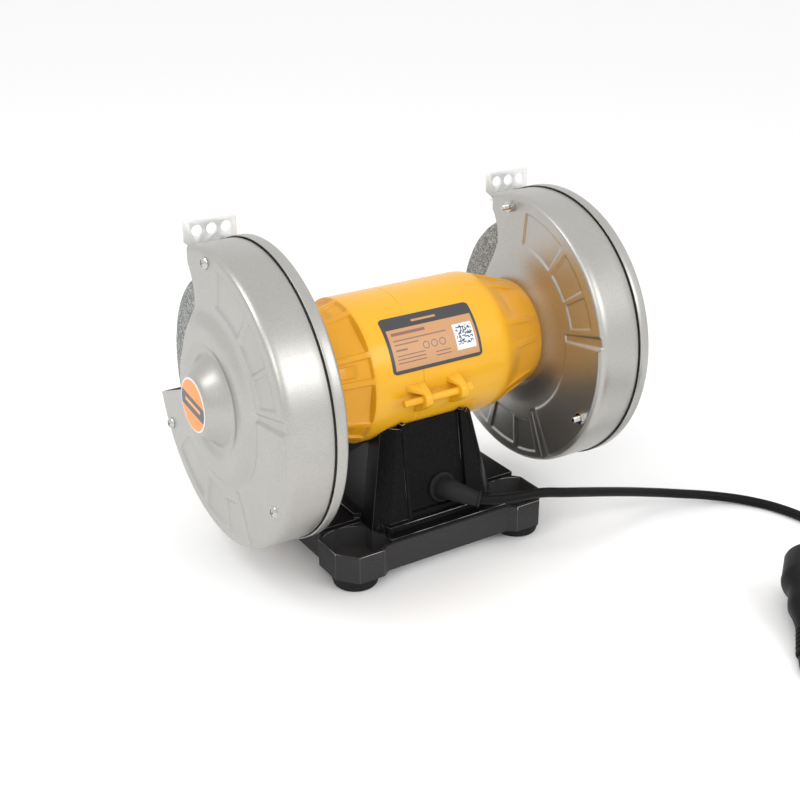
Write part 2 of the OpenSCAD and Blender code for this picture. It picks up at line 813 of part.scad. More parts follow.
module wheel_nut(x0, x1) {
    color(bright_zinc) difference() {
        intersection() {
            hex_x(19, x0, x1, 0, 0);
            disc(10.6, x0, x1);
        }
        disc(arbor_r, x0 - 1, x1 + 1);
    }
}

// ---------- switch and wiring parts ----------

module switch_housing() {
    w = switch_w;
    t = switch_tall;
    color(black) difference() {
        union() {
            translate([-w / 2 - 1.5, switch_y - 2.2, switch_z - t / 2 - 1.5]) cube([w + 3, 2.2, t + 3]);
            translate([-w / 2 + 1.5, switch_y, switch_z - t / 2 + 1.5]) cube([w - 3, 24, t - 3]);
        }
        translate([-rocker_w / 2 - 0.6, switch_y - 3, switch_z - rocker_tall / 2 - 0.8])
            cube([rocker_w + 1.2, 12, rocker_tall + 1.6]);
        translate([-13, switch_y + 1.2, switch_z]) rotate([0, 90, 0]) cylinder(r = 1.25, h = 26, $fn = 32);
    }
}

// The rocker rests with its lower half pressed in.
module switch_rocker() {
    color(black) translate([0, switch_y + 1.2, switch_z]) {
        rotate([0, 90, 0]) translate([0, 0, -12]) cylinder(r = 1.17, h = 24, $fn = 32);
        rotate([rocker_tilt, 0, 0]) translate([-rocker_w / 2, 0, 0]) along_x()
            linear_extrude(height = rocker_w)
                polygon([[-4.4, -7.2], [-3, 0], [-4.4, 7.2], [1.5, 6.4], [2.5, 0], [1.5, -6.4]]);
    }
}

module capacitor() {
    color(bright_zinc) translate([-26, 14, 50]) rotate([0, 90, 0]) {
        cylinder(r = 13, h = 48, $fn = 64);
        translate([0, 0, 48]) cylinder(r = 11.5, h = 2, $fn = 64);
        for (y = [-4, 4]) {
            translate([-0.4, y - 3, 50]) cube([0.8, 6, 7]);
        }
    }
}

module capacitor_bracket() {
    color(steel) {
        translate([-8, 14, 50]) rotate([0, 90, 0]) difference() {
            cylinder(r = 14.2, h = 12, $fn = 64);
            translate([0, 0, -1]) cylinder(r = 13, h = 14, $fn = 64);
        }
        difference() {
            translate([-8, 13.4, base_z0 + plate_t]) cube([12, 1.2, 50 - 13.6 - base_z0 - plate_t]);
            translate([-9, 14, 50]) rotate([0, 90, 0]) cylinder(r = 13.6, h = 14, $fn = 64);
        }
        translate([-8, 2, base_z0 + plate_t]) cube([12, 12.6, 1.2]);
    }
}

module terminal_block() {
    color([0.85, 0.85, 0.80]) difference() {
        translate([8, -8, base_z0 + plate_t]) cube([28, 16, 12]);
        for (i = [0:2]) {
            translate([13 + 9 * i, 0, base_z0 + plate_t + 4]) cylinder(r = 2.2, h = 12, $fn = 24);
            translate([13 + 9 * i, 9, base_z0 + plate_t + 6]) rotate([90, 0, 0])
                cylinder(r = 1.5, h = 18, $fn = 24);
        }
    }
}

module cable_clamp() {
    color(black) difference() {
        translate([-24, 28, base_z0 + plate_t]) cube([24, 8, 14]);
        translate([-12, 27, base_z0 + plate_t + 7]) rotate([-90, 0, 0])
            cylinder(r = cord_r, h = 10, $fn = 32);
        for (x = [-20.5, -3.5]) {
            translate([x, 32, base_z0 + plate_t + 4]) cylinder(r = 1.5, h = 14, $fn = 24);
        }
    }
}

module cable_clamp_screws() {
    color(bright_zinc) for (x = [-20.5, -3.5]) {
        translate([x, 32, base_z0 + plate_t + 6]) cylinder(r = 1.5, h = 8, $fn = 24);
        translate([x, 32, base_z0 + plate_t + 14]) cylinder(r = 2.8, h = 2, $fn = 32);
    }
}

// ---------- mains lead ----------

// Places its children on the rear panel with local z along its outward normal.
module at_gland() {
    translate(gland_at) rotate([column_lean - 90, 0, 0]) children();
}

// Rubber strain relief: a grooved neck and flange in the panel, and a boot bent by the lead.
module cord_boot() {
    color(dark_rubber) {
        at_gland() {
            translate([0, 0, -7]) cylinder(r = 6, h = 7, $fn = 48);
            translate([0, 0, -9]) cylinder(r1 = 6.5, r2 = 7.5, h = 2, $fn = 48);
            cylinder(r = gland_r, h = gland_t - 0.8, $fn = 64);
            translate([0, 0, gland_t - 0.8]) cylinder(r1 = gland_r, r2 = gland_r - 0.8, h = 0.8, $fn = 64);
        }
        tube(BOOT_ROUTE, BOOT_RADII, 20);
    }
}

module power_cord() {
    color(black) tube(ROUTE_OUT, [for (p = ROUTE_OUT) cord_r], cord_sides);
}

module cord_coil() {
    color(black) translate([coil_at[0], coil_at[1], 0.2]) rotate_extrude($fn = 64)
        polygon([[coil_r - cord_d, 0], [coil_r + cord_d, 0], [coil_r + cord_d, coil_layers * cord_d],
            [coil_r - cord_d, coil_layers * cord_d]]);
}

module cord_tail() {
    color(black) tube(ROUTE_BACK, [for (p = ROUTE_BACK) cord_r], cord_sides);
}

// Places its children with local z along the plug, from its tail to its face.
module at_plug() {
    translate(plug_tail) rotate([0, 90 - plug_tilt, plug_heading]) children();
}

module plug_body() {
    color(black) at_plug() difference() {
        rotate_extrude($fn = 64)
            polygon([[0, 1], [4.6, 1], [6.4, 20], [9.5, 30], [12.5, 36], [13.2, 48], [17.6, 54],
                [18.4, 56], [18.4, plug_len - 1], [17.8, plug_len], [0, plug_len]]);
        for (s = [-1, 1]) {
            translate([-3, s * 18 - 1.3, 58]) cube([6, 2.6, 30]);
        }
    }
}

module plug_pins() {
    color(bright_zinc) at_plug() for (s = [-1, 1]) {
        translate([s * 9.5, 0, plug_len]) {
            cylinder(r = 2.4, h = 17.5, $fn = 32);
            translate([0, 0, 17.5]) cylinder(r1 = 2.4, r2 = 1.4, h = 1.5, $fn = 32);
        }
    }
}

module plug_earth_clips() {
    color(bright_zinc) at_plug() for (s = [-1, 1]) {
        translate([-2.4, s * 17 - 0.3, 58]) cube([4.8, 0.6, plug_len - 58]);
    }
}

// ---------- nodes ----------

base();
bottom_plate();
bottom_screws();
foot(1, 1);  // foot_rear_near
foot(-1, 1);  // foot_rear_far
foot(1, -1);  // foot_front_near
foot(-1, -1);  // foot_front_far
motor_shell_near();
motor_shell_far();
motor_screws();
clamp_bolts();
stator_core();
winding_near();
winding_far();
bearing_outer(1);  // bearing_outer_near
bearing_outer(-1);  // bearing_outer_far
guard_drum_near();
guard_cover_near();
guard_drum_far();
guard_cover_far();
shield_bracket(near_seam_x);  // shield_bracket_near
shield_bracket(far_seam_x);  // shield_bracket_far
guard_screws(near_seam_x + drum_depth, near_seam_x - cover_depth - 6, near_screw_a);  // guard_screws_near
guard_screws(far_seam_x - cover_depth, far_seam_x + drum_depth + 8, far_screw_a);  // guard_screws_far
guard_nuts(near_seam_x - cover_depth - 3.2, near_seam_x - cover_depth, near_screw_a);  // guard_nuts_near
guard_nuts(far_seam_x + drum_depth, far_seam_x + drum_depth + 3.2, far_screw_a);  // guard_nuts_far
guard_mount_screws();
hub_badge_near();
hub_badge_far();
rating_label();
switch_housing();
capacitor();
capacitor_bracket();
terminal_block();
cable_clamp();
cable_clamp_screws();
cord_boot();
shaft();
rotor_core();
rotor_cage();
bearing_inner(1);  // bearing_inner_near
bearing_inner(-1);  // bearing_inner_far
flange(wheel_in - blotter_t, shoulder_x);  // flange_inner_near
flange(-wheel_in + blotter_t, -shoulder_x);  // flange_inner_far
flange(outer_flange_x, nut_x);  // flange_outer_near
flange(-outer_flange_x, -nut_x);  // flange_outer_far
blotters();
wheel(wheel_x);  // wheel_near
wheel(-wheel_x);  // wheel_far
wheel_nut(nut_x, nut_x + nut_t);  // nut_near
wheel_nut(-nut_x - nut_t, -nut_x);  // nut_far
switch_rocker();
power_cord();
cord_coil();
cord_tail();
plug_body();
plug_pins();
plug_earth_clips();
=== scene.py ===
import math
import random

import bmesh
import bpy
from mathutils import Matrix, Vector


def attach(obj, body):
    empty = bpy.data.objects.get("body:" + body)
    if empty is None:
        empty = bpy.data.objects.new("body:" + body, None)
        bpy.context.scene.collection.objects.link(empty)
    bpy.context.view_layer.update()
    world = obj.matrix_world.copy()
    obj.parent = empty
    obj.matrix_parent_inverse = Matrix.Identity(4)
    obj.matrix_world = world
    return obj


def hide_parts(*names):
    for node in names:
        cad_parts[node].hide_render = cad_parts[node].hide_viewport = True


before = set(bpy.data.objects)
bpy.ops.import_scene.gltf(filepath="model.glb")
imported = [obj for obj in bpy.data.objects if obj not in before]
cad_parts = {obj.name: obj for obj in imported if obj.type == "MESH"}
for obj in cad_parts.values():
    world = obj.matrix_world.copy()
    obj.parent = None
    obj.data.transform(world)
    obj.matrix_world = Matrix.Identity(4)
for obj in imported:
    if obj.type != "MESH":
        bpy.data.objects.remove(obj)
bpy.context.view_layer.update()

# Sizes are in millimetres and turn into metres when a mesh is made.
MM = 0.001
SHAFT_Z = 121.0
NEAR_SEAM = 98.3
FAR_SEAM = -124.1
SHEET = 1.2
DECK_Z = 29.5
CORNER_Z = 26.5
BASE_Z = 8.0
BARREL_R = 47.0
FOOT_AT = (63.0, 51.0)
# Half sizes of the column in plan, at the deck and at its top, and the size of its chamfered corners.
COLUMN_LOW = (46.0, 52.0)
COLUMN_HIGH = (33.5, 42.2)
COLUMN_TOP = 92.3
COLUMN_CORNER = 8.0


# ---------- camera ----------

def add_camera(azimuth, elevation, distance, target, lens):
    """A camera at distance from target, turned by an azimuth and an elevation in degrees."""
    a, e = math.radians(azimuth), math.radians(elevation)
    back = Vector((math.sin(a) * math.cos(e), -math.cos(a) * math.cos(e), math.sin(e)))
    camera = bpy.data.objects.new("camera", bpy.data.cameras.new("camera"))
    bpy.context.collection.objects.link(camera)
    camera.location = Vector(target) + back * distance
    camera.rotation_euler = (-back).to_track_quat("-Z", "Y").to_euler()
    camera.data.sensor_width = 36.0
    camera.data.lens = lens
    camera.data.clip_start = 0.01
    camera.data.dof.use_dof = False
    bpy.context.scene.camera = camera


add_camera(147.56, 23.97, 0.8232, (-0.0026, 0.0, 0.0898), 56.23)


# ---------- mesh tools ----------

def new_object(name, mesh):
    obj = bpy.data.objects.new(name, mesh)
    bpy.context.collection.objects.link(obj)
    return obj


def mesh_object(name, verts, faces):
    """An object from points in millimetres."""
    mesh = bpy.data.meshes.new(name)
    mesh.from_pydata([(x * MM, y * MM, z * MM) for x, y, z in verts], [], faces)
    mesh.validate()
    return new_object(name, mesh)


def edit(obj, change):
    """Runs change(bm) on the object's mesh."""
    bm = bmesh.new()
    bm.from_mesh(obj.data)
    change(bm)
    bm.to_mesh(obj.data)
    bm.free()


def outward(obj):
    edit(obj, lambda bm: bmesh.ops.recalc_face_normals(bm, faces=bm.faces))
    return obj


def solid(name, verts, faces):
    """A closed object from points in millimetres, with its faces turned outward."""
    return outward(mesh_object(name, verts, faces))


def apply_modifiers(obj):
    graph = bpy.context.evaluated_depsgraph_get()
    mesh = bpy.data.meshes.new_from_object(obj.evaluated_get(graph))
    obj.modifiers.clear()
    old = obj.data
    obj.data = mesh
    mesh.name = obj.name
    bpy.data.meshes.remove(old)


def boolean(obj, other, operation):
    """Adds or cuts another solid, which is used up."""
    change = obj.modifiers.new("boolean", "BOOLEAN")
    change.object = other
    change.operation = operation
    change.solver = "EXACT"
    apply_modifiers(obj)
    bpy.data.objects.remove(other)


def bevel(obj, width, segments=2, angle=30.0, slot=-1, clamp=True):
    """Rounds every edge sharper than angle.

    slot is the new faces' material, or -1 for that of their neighbours. clamp narrows every edge's
    width to what the shortest edge has room for.
    """
    change = obj.modifiers.new("bevel", "BEVEL")
    change.width = width * MM
    change.segments = segments
    change.limit_method = "ANGLE"
    change.angle_limit = math.radians(angle)
    change.harden_normals = False
    change.material = slot
    change.use_clamp_overlap = clamp
    apply_modifiers(obj)


def smooth(obj, angle):
    """Smooth shading, with edges sharper than angle kept hard."""
    for face in obj.data.polygons:
        face.use_smooth = True
    obj.data.set_sharp_from_angle(angle=math.radians(angle))


def join(name, parts):
    """One object from several, which are used up."""
    bm = bmesh.new()
    for part in parts:
        bm.from_mesh(part.data)
        bpy.data.objects.remove(part)
    mesh = bpy.data.meshes.new(name)
    bm.to_mesh(mesh)
    bm.free()
    return new_object(name, mesh)


def grid_faces(rows, cols, closed=True):
    """Quads of a grid whose rows run along the first index."""
    last = cols if closed else cols - 1
    return [(i * cols + j, i * cols + (j + 1) % cols, (i + 1) * cols + (j + 1) % cols, (i + 1) * cols + j)
            for i in range(rows - 1) for j in range(last)]


def steps(start, end, count):
    return [start + (end - start) * i / count for i in range(count + 1)]


def polar(x, r, degrees):
    """A point about the shaft line. The angle runs from +Y towards +Z."""
    a = math.radians(degrees)
    return (x, r * math.cos(a), SHAFT_Z + r * math.sin(a))


def turned(name, profile, count=96, centre=(0.0, 0.0), axis="X"):
    """A closed body turned from [radius, along] points, about the X or the Z axis."""
    verts = []
    for r, along in profile:
        for j in range(count):
            a = 2 * math.pi * j / count
            side = (centre[0] + r * math.cos(a), centre[1] + r * math.sin(a))
            verts.append((along, *side) if axis == "X" else (*side, along))
    rows = len(profile)
    faces = grid_faces(rows, count)
    if profile[0][0] > 0.01 and profile[-1] != profile[0]:
        faces += [tuple(range(count)), tuple(reversed(range((rows - 1) * count, rows * count)))]
    obj = mesh_object(name, verts, faces)
    edit(obj, lambda bm: bmesh.ops.remove_doubles(bm, verts=bm.verts, dist=1e-7))
    return outward(obj)


def loft(name, low, z0, high, z1):
    """A solid between two flat outlines of the same number of points."""
    n = len(low)
    verts = [(x, y, z0) for x, y in low] + [(x, y, z1) for x, y in high]
    faces = [tuple(range(n)), tuple(range(n, 2 * n))]
    faces += [(i, (i + 1) % n, n + (i + 1) % n, n + i) for i in range(n)]
    return solid(name, verts, faces)


def prism(name, outline, z0, z1):
    """A solid with a flat outline in plan between two heights."""
    return loft(name, outline, z0, outline, z1)


def prism_x(name, outline, x0, x1):
    """A solid with an outline in (y, z) between two planes across the shaft."""
    obj = prism(name, outline, x0, x1)
    obj.data.transform(Matrix(((0, 0, 1, 0), (1, 0, 0, 0), (0, 1, 0, 0), (0, 0, 0, 1))))
    return outward(obj)


def block(name, x0, x1, y0, y1, z0, z1):
    """A box between two planes each way."""
    return prism(name, [(x0, y0), (x1, y0), (x1, y1), (x0, y1)], z0, z1)


def arc(r, degrees, centre=(0.0, 0.0)):
    """Points at a radius round a centre, one for each angle."""
    turns = [math.radians(a) for a in degrees]
    return [(centre[0] + r * math.cos(a), centre[1] + r * math.sin(a)) for a in turns]


def circle(r, count, centre):
    return arc(r, [360.0 * k / count for k in range(count)], centre)


def moved(obj, x, y, z):
    """Shifts a mesh by millimetres."""
    obj.data.transform(Matrix.Translation((x * MM, y * MM, z * MM)))
    return obj


def tube(name, points, radii, sides):
    """A closed tube along points, each with its own radius."""
    verts = []
    side = None
    for i, here in enumerate(points):
        along = (points[min(i + 1, len(points) - 1)] - points[max(i - 1, 0)]).normalized()
        side = along.cross(Vector((0, 0, 1))) if side is None else side - along * side.dot(along)
        side.normalize()
        other = side.cross(along)
        for j in range(sides):
            a = 2 * math.pi * j / sides
            verts.append(tuple(here + (side * math.cos(a) + other * math.sin(a)) * radii[i]))
    rows = len(points)
    faces = grid_faces(rows, sides)
    faces += [tuple(range(sides)), tuple(range((rows - 1) * sides, rows * sides))]
    return solid(name, verts, faces)


def complete(obj, angle, material, node, body="frame"):
    """Smooths a piece, gives it its material, puts it in its body and hides the CAD node it stands for."""
    smooth(obj, angle)
    if not obj.data.materials:
        obj.data.materials.append(material)
    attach(obj, body)
    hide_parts(node)


# ---------- materials ----------

class Paint:
    """A material being made. Every coordinate is the object's own, in metres."""

    def __init__(self, name, colour, roughness, metallic=0.0, coat=0.0, coat_roughness=0.1, specular=0.5):
        self.material = bpy.data.materials.new(name)
        self.material.use_nodes = True
        self.tree = self.material.node_tree
        self.shader = self.tree.nodes["Principled BSDF"]
        self.shader.inputs["Base Color"].default_value = (*colour, 1.0)
        self.shader.inputs["Roughness"].default_value = roughness
        self.shader.inputs["Metallic"].default_value = metallic
        self.shader.inputs["Coat Weight"].default_value = coat
        self.shader.inputs["Coat Roughness"].default_value = coat_roughness
        self.shader.inputs["Specular IOR Level"].default_value = specular
        self.material.diffuse_color = (*colour, 1.0)
        self.place = self.tree.nodes.new("ShaderNodeTexCoord").outputs["Object"]

    def put(self, value, socket):
        """Links an output to a socket, or sets the socket's own value."""
        if isinstance(value, bpy.types.NodeSocket):
            self.tree.links.new(value, socket)
        elif value is not None:
            socket.default_value = value

    def math(self, operation, a, b=None, clamp=False):
        node = self.tree.nodes.new("ShaderNodeMath")
        node.operation = operation
        node.use_clamp = clamp
        for value, socket in zip((a, b), node.inputs):
            self.put(value, socket)
        return node.outputs[0]

    def stretched(self, scale):
        node = self.tree.nodes.new("ShaderNodeMapping")
        node.inputs["Scale"].default_value = scale
        self.put(self.place, node.inputs["Vector"])
        return node.outputs[0]

    def noise(self, scale, detail=2.0, roughness=0.5, where=None):
        node = self.tree.nodes.new("ShaderNodeTexNoise")
        self.put(where or self.place, node.inputs["Vector"])
        node.inputs["Scale"].default_value = scale
        node.inputs["Detail"].default_value = detail
        node.inputs["Roughness"].default_value = roughness
        return node.outputs["Fac"]

    def cells(self, scale, output):
        node = self.tree.nodes.new("ShaderNodeTexVoronoi")
        self.put(self.place, node.inputs["Vector"])
        node.inputs["Scale"].default_value = scale
        return node.outputs[output]

    def ramp(self, value, stops):
        """A colour ramp from (position, colour) stops. A number stands for a grey."""
        node = self.tree.nodes.new("ShaderNodeValToRGB")
        elements = node.color_ramp.elements
        for i, (position, colour) in enumerate(stops):
            element = elements[i] if i < 2 else elements.new(position)
            element.position = position
            element.color = (*colour, 1.0) if isinstance(colour, tuple) else (colour, colour, colour, 1.0)
        self.put(value, node.inputs["Fac"])
        return node.outputs["Color"]

    def mix(self, factor, a, b, blend="MIX"):
        node = self.tree.nodes.new("ShaderNodeMix")
        node.data_type = "RGBA"
        node.blend_type = blend
        self.put(factor, node.inputs[0])
        for value, socket in ((a, node.inputs[6]), (b, node.inputs[7])):
            self.put((*value, 1.0) if isinstance(value, tuple) else value, socket)
        return node.outputs[2]

    def split(self):
        """The x, y and z of the place."""
        node = self.tree.nodes.new("ShaderNodeSeparateXYZ")
        self.put(self.place, node.inputs[0])
        return node.outputs

    def rise(self, value, start, length):
        """0 below start, and from there up to 1 over a length."""
        return self.math("DIVIDE", self.math("SUBTRACT", value, start), length, clamp=True)

    def radius(self, a, b):
        """How far the point (a, b) is from the middle."""
        return self.math("SQRT", self.math("ADD", self.math("MULTIPLY", a, a), self.math("MULTIPLY", b, b)))

    def between(self, value, low, high, soft=0.0002):
        """1 where value lies between low and high, with soft edges."""
        up = self.rise(value, low, soft)
        down = self.math("DIVIDE", self.math("SUBTRACT", high, value), soft, clamp=True)
        return self.math("MULTIPLY", up, down)

    def colour(self, value):
        self.put(value, self.shader.inputs["Base Color"])

    def rough(self, value, low, high):
        """Roughness that varies between low and high with value."""
        node = self.tree.nodes.new("ShaderNodeMapRange")
        node.inputs["To Min"].default_value = low
        node.inputs["To Max"].default_value = high
        self.put(value, node.inputs["Value"])
        self.put(node.outputs[0], self.shader.inputs["Roughness"])

    def bump(self, height, distance, strength=1.0):
        """Adds a height in metres times distance to the surface, on top of any bump before it."""
        node = self.tree.nodes.new("ShaderNodeBump")
        node.inputs["Distance"].default_value = distance
        node.inputs["Strength"].default_value = strength
        self.put(height, node.inputs["Height"])
        normal = self.shader.inputs["Normal"]
        if normal.is_linked:
            self.put(normal.links[0].from_socket, node.inputs["Normal"])
        self.put(node.outputs[0], normal)


def varied(name, colour, roughness, grain=900.0, depth=0.00004, spread=0.12, specular=0.5):
    """A plain finish with fine grain, slow blotches and uneven gloss."""
    paint = Paint(name, colour, roughness, specular=specular)
    slow = paint.noise(28.0, 3.0, 0.6)
    low = tuple(c * (1.0 - spread) for c in colour)
    high = tuple(min(1.0, c * (1.0 + spread)) for c in colour)
    paint.colour(paint.ramp(slow, [(0.3, low), (0.7, high)]))
    paint.rough(paint.noise(60.0, 4.0, 0.65), roughness * 0.8, roughness * 1.25)
    paint.bump(paint.noise(grain, 2.0), depth)
    return paint.material


def brushed(name, colour, roughness, stretch, metallic=1.0):
    """Metal with fine lines along one direction."""
    paint = Paint(name, colour, roughness, metallic=metallic)
    lines = paint.noise(40.0, 5.0, 0.7, paint.stretched(stretch))
    low = tuple(c * 0.82 for c in colour)
    paint.colour(paint.ramp(lines, [(0.3, low), (0.7, colour)]))
    paint.rough(paint.noise(35.0, 3.0, 0.6), roughness * 0.75, roughness * 1.35)
    paint.bump(lines, 0.00003)
    return paint.material


def silver_paint():
    paint = Paint("guard_silver_paint", (0.50, 0.49, 0.465), 0.36, metallic=0.9)
    flake = paint.noise(2600.0, 1.0)
    slow = paint.noise(14.0, 3.0, 0.6)
    base = paint.ramp(slow, [(0.3, (0.415, 0.403, 0.375)), (0.7, (0.47, 0.458, 0.432))])
    paint.colour(paint.mix(0.14, base, paint.ramp(flake, [(0.35, 0.2), (0.65, 0.85)])))
    paint.rough(paint.noise(45.0, 4.0, 0.6), 0.31, 0.42)
    paint.bump(flake, 0.00002, 0.5)
    paint.bump(paint.noise(240.0, 2.0), 0.00003, 0.5)
    return paint.material


def yellow_paint():
    """Bright yellow on the barrel, and on the two caps a deeper yellow that is painted shade."""
    paint = Paint("motor_yellow_paint", (0.77, 0.39, 0.014), 0.3, coat=0.25, coat_roughness=0.12,
                  specular=0.3)
    slow = paint.noise(22.0, 3.0, 0.6)
    barrel = paint.ramp(slow, [(0.3, (0.74, 0.375, 0.012)), (0.7, (0.79, 0.41, 0.016))])
    # Painted shade: the caps' darker, more orange yellow stands in for the shade on their faceted ends.
    shaded_cap_colour = paint.ramp(slow, [(0.3, (0.70, 0.315, 0.009)), (0.7, (0.745, 0.345, 0.011))])
    # The bright yellow holds between the caps and fades into the painted cap shade beyond them.
    on_barrel = paint.between(paint.split()[0], -0.058, 0.0455, 0.004)
    paint.colour(paint.mix(on_barrel, shaded_cap_colour, barrel))
    paint.rough(paint.noise(70.0, 4.0, 0.6), 0.24, 0.36)
    paint.bump(paint.noise(420.0, 2.0), 0.00004, 0.6)
    return paint.material


def black_paint():
    """Glossy black on the deck and the column, and a painted reflection on the walls below the deck, which
    are coloured greyer to stand for the pale floor they reflect.
    """
    paint = Paint("base_black_paint", (0.012, 0.012, 0.013), 0.3, specular=0.06)
    # wall is 1 on the walls below the deck, where the painted reflection goes.
    wall = paint.math("SUBTRACT", 1.0, paint.rise(paint.split()[2], 0.0255, 0.0022))
    speck = paint.noise(1500.0, 2.0)
    top = paint.ramp(speck, [(0.42, (0.004, 0.004, 0.0045)), (0.72, (0.013, 0.013, 0.014))])
    # Painted reflection: the walls' lighter grey stands in for the floor they reflect.
    side = paint.ramp(speck, [(0.3, (0.036, 0.035, 0.036)), (0.7, (0.048, 0.046, 0.047))])
    paint.colour(paint.mix(wall, top, side))
    dull = paint.math("ADD", paint.math("MULTIPLY", wall, 0.65), paint.math("MULTIPLY", speck, 0.25))
    paint.rough(dull, 0.30, 0.60)
    paint.bump(paint.noise(620.0, 3.0, 0.6), 0.00007, 0.5)
    paint.bump(speck, 0.00004, 0.5)
    return paint.material


def edge_highlight_black():
    """The base's paint on its rounded edges: a painted highlight, brighter in places and only near the deck
    or above it.
    """
    paint = Paint("base_black_edge_highlight", (0.2, 0.2, 0.2), 0.3)
    high = paint.rise(paint.split()[2], 0.020, 0.006)
    # Painted highlight: patchy bright grey along the rounded edges, standing in for the gloss on them.
    edge_highlight_mask = paint.math("MULTIPLY", paint.noise(38.0, 2.0, 0.4), high)
    paint.colour(paint.ramp(edge_highlight_mask, [(0.42, (0.045, 0.045, 0.047)), (0.56, (0.45, 0.45, 0.45))]))
    paint.rough(edge_highlight_mask, 0.3, 0.45)
    return paint.material


def grit_stone():
    paint = Paint("wheel_grit_stone", (0.3, 0.3, 0.3), 0.85, specular=0.35)
    grain = paint.cells(1500.0, "Color")
    lumps = paint.cells(1500.0, "Distance")
    pick = paint.tree.nodes.new("ShaderNodeSeparateColor")
    paint.put(grain, pick.inputs[0])
    stops = [(0.0, (0.10, 0.105, 0.10)), (0.4, (0.22, 0.23, 0.22)), (0.75, (0.34, 0.35, 0.34)),
             (1.0, (0.62, 0.63, 0.62))]
    paint.colour(paint.ramp(pick.outputs[0], stops))
    paint.bump(paint.math("SUBTRACT", 1.0, lumps), 0.0005, 0.8)
    paint.bump(paint.noise(500.0, 3.0), 0.0004, 0.6)
    return paint.material


def jacket(name, colour, roughness):
    """Soft black plastic or rubber with faint scuffs."""
    return varied(name, colour, roughness, grain=1400.0, depth=0.00003, spread=0.25, specular=0.12)


def wound_copper():
    paint = Paint("winding_copper", (0.62, 0.28, 0.12), 0.35, metallic=0.9)
    wire = paint.noise(55.0, 2.0, 0.5, paint.stretched((60.0, 4.0, 4.0)))
    paint.colour(paint.ramp(wire, [(0.35, (0.30, 0.11, 0.04)), (0.65, (0.70, 0.34, 0.15))]))
    paint.bump(wire, 0.0005)
    return paint.material


def laminated_steel():
    paint = Paint("core_laminations", (0.30, 0.30, 0.31), 0.5, metallic=0.9)
    plate = paint.math("FRACT", paint.math("MULTIPLY", paint.split()[0], 2000.0))
    paint.colour(paint.ramp(plate, [(0.1, (0.12, 0.12, 0.12)), (0.3, (0.33, 0.33, 0.34))]))
    paint.bump(plate, 0.0001)
    return paint.material


BLOCK = 0.8


def label_print():
    """A blank label: dark border and head band, peach field, a pale square of random blocks, plain bars."""
    paint = Paint("label_print", (0.8, 0.45, 0.25), 0.38)
    x, y, z = paint.split()
    up = paint.math("SUBTRACT", z, SHAFT_Z * MM)
    v = paint.math("MULTIPLY", paint.math("ARCTAN2", up, y), BARREL_R * MM)
    u = paint.math("MULTIPLY", x, -1.0)

    def box(u0, u1, v0, v1):
        return paint.math("MULTIPLY", paint.between(u, u0 * MM, u1 * MM), paint.between(v, v0 * MM, v1 * MM))

    peach = paint.mix(paint.noise(900.0), (0.50, 0.26, 0.115), (0.56, 0.30, 0.145))
    made = paint.mix(box(-29.0, 33.2, 12.0, 37.6), (0.045, 0.045, 0.05), peach)
    made = paint.mix(box(17.0, 31.4, 16.0, 32.5), made, (0.78, 0.80, 0.84))
    blocks = paint.tree.nodes.new("ShaderNodeTexWhiteNoise")
    grid = paint.tree.nodes.new("ShaderNodeCombineXYZ")
    for value, socket in zip((u, v), grid.inputs):
        paint.put(paint.math("FLOOR", paint.math("DIVIDE", value, BLOCK * MM)), socket)
    paint.put(grid.outputs[0], blocks.inputs["Vector"])
    ink = paint.math("GREATER_THAN", blocks.outputs["Value"], 0.5)
    made = paint.mix(paint.math("MULTIPLY", box(18.4, 30.4, 19.2, 31.2), ink), made, (0.07, 0.08, 0.13))
    bars = [(-2.0, 33.2, 35.4), (12.0, 29.6, 30.6), (-9.0, 27.0, 28.0), (-18.0, 23.4, 24.8)]
    bars = [(-26.5, *bar) for bar in bars]
    for start, end, count in ((-26.5, -6.0, 3), (1.0, 12.5, 2)):
        bars += [(start, end, 15.8 + 2.2 * i, 16.7 + 2.2 * i) for i in range(count)]
    for bar in bars:
        made = paint.mix(box(*bar), made, (0.24, 0.12, 0.09))
    for middle in (-4.5, 1.5, 7.5):
        far = paint.radius(paint.math("SUBTRACT", u, middle * MM), paint.math("SUBTRACT", v, 24.0 * MM))
        made = paint.mix(paint.between(far, 0.0017, 0.0025), made, (0.16, 0.12, 0.16))
    paint.colour(paint.mix(box(-9.0, 9.0, 40.3, 42.0), made, (0.52, 0.27, 0.12)))
    paint.rough(paint.noise(80.0, 3.0), 0.3, 0.45)
    paint.bump(paint.noise(1200.0), 0.00002)
    return paint.material


def badge_print():
    """A blank round sticker: light rim, orange disc and a plain dark band across it."""
    paint = Paint("badge_print", (0.8, 0.3, 0.05), 0.35, coat=0.2)
    _, y, z = paint.split()
    up = paint.math("SUBTRACT", z, SHAFT_Z * MM)
    far = paint.radius(y, up)
    tilt = math.radians(-8.0)
    lean = paint.math("MULTIPLY", y, -math.sin(tilt))
    across = paint.math("ADD", lean, paint.math("MULTIPLY", up, math.cos(tilt)))
    orange = paint.mix(paint.noise(500.0), (0.78, 0.24, 0.03), (0.86, 0.31, 0.05))
    made = paint.mix(paint.between(across, -0.0052, 0.0046), orange, (0.06, 0.06, 0.065))
    line = paint.math("MULTIPLY", paint.between(across, -0.0012, 0.0012), paint.between(far, -0.001, 0.0105))
    made = paint.mix(line, made, (0.82, 0.36, 0.10))
    paint.colour(paint.mix(paint.between(far, 0.0158, 0.03), made, (0.72, 0.72, 0.70)))
    paint.rough(paint.noise(90.0, 3.0), 0.28, 0.42)
    paint.bump(paint.noise(1200.0), 0.00002)
    return paint.material


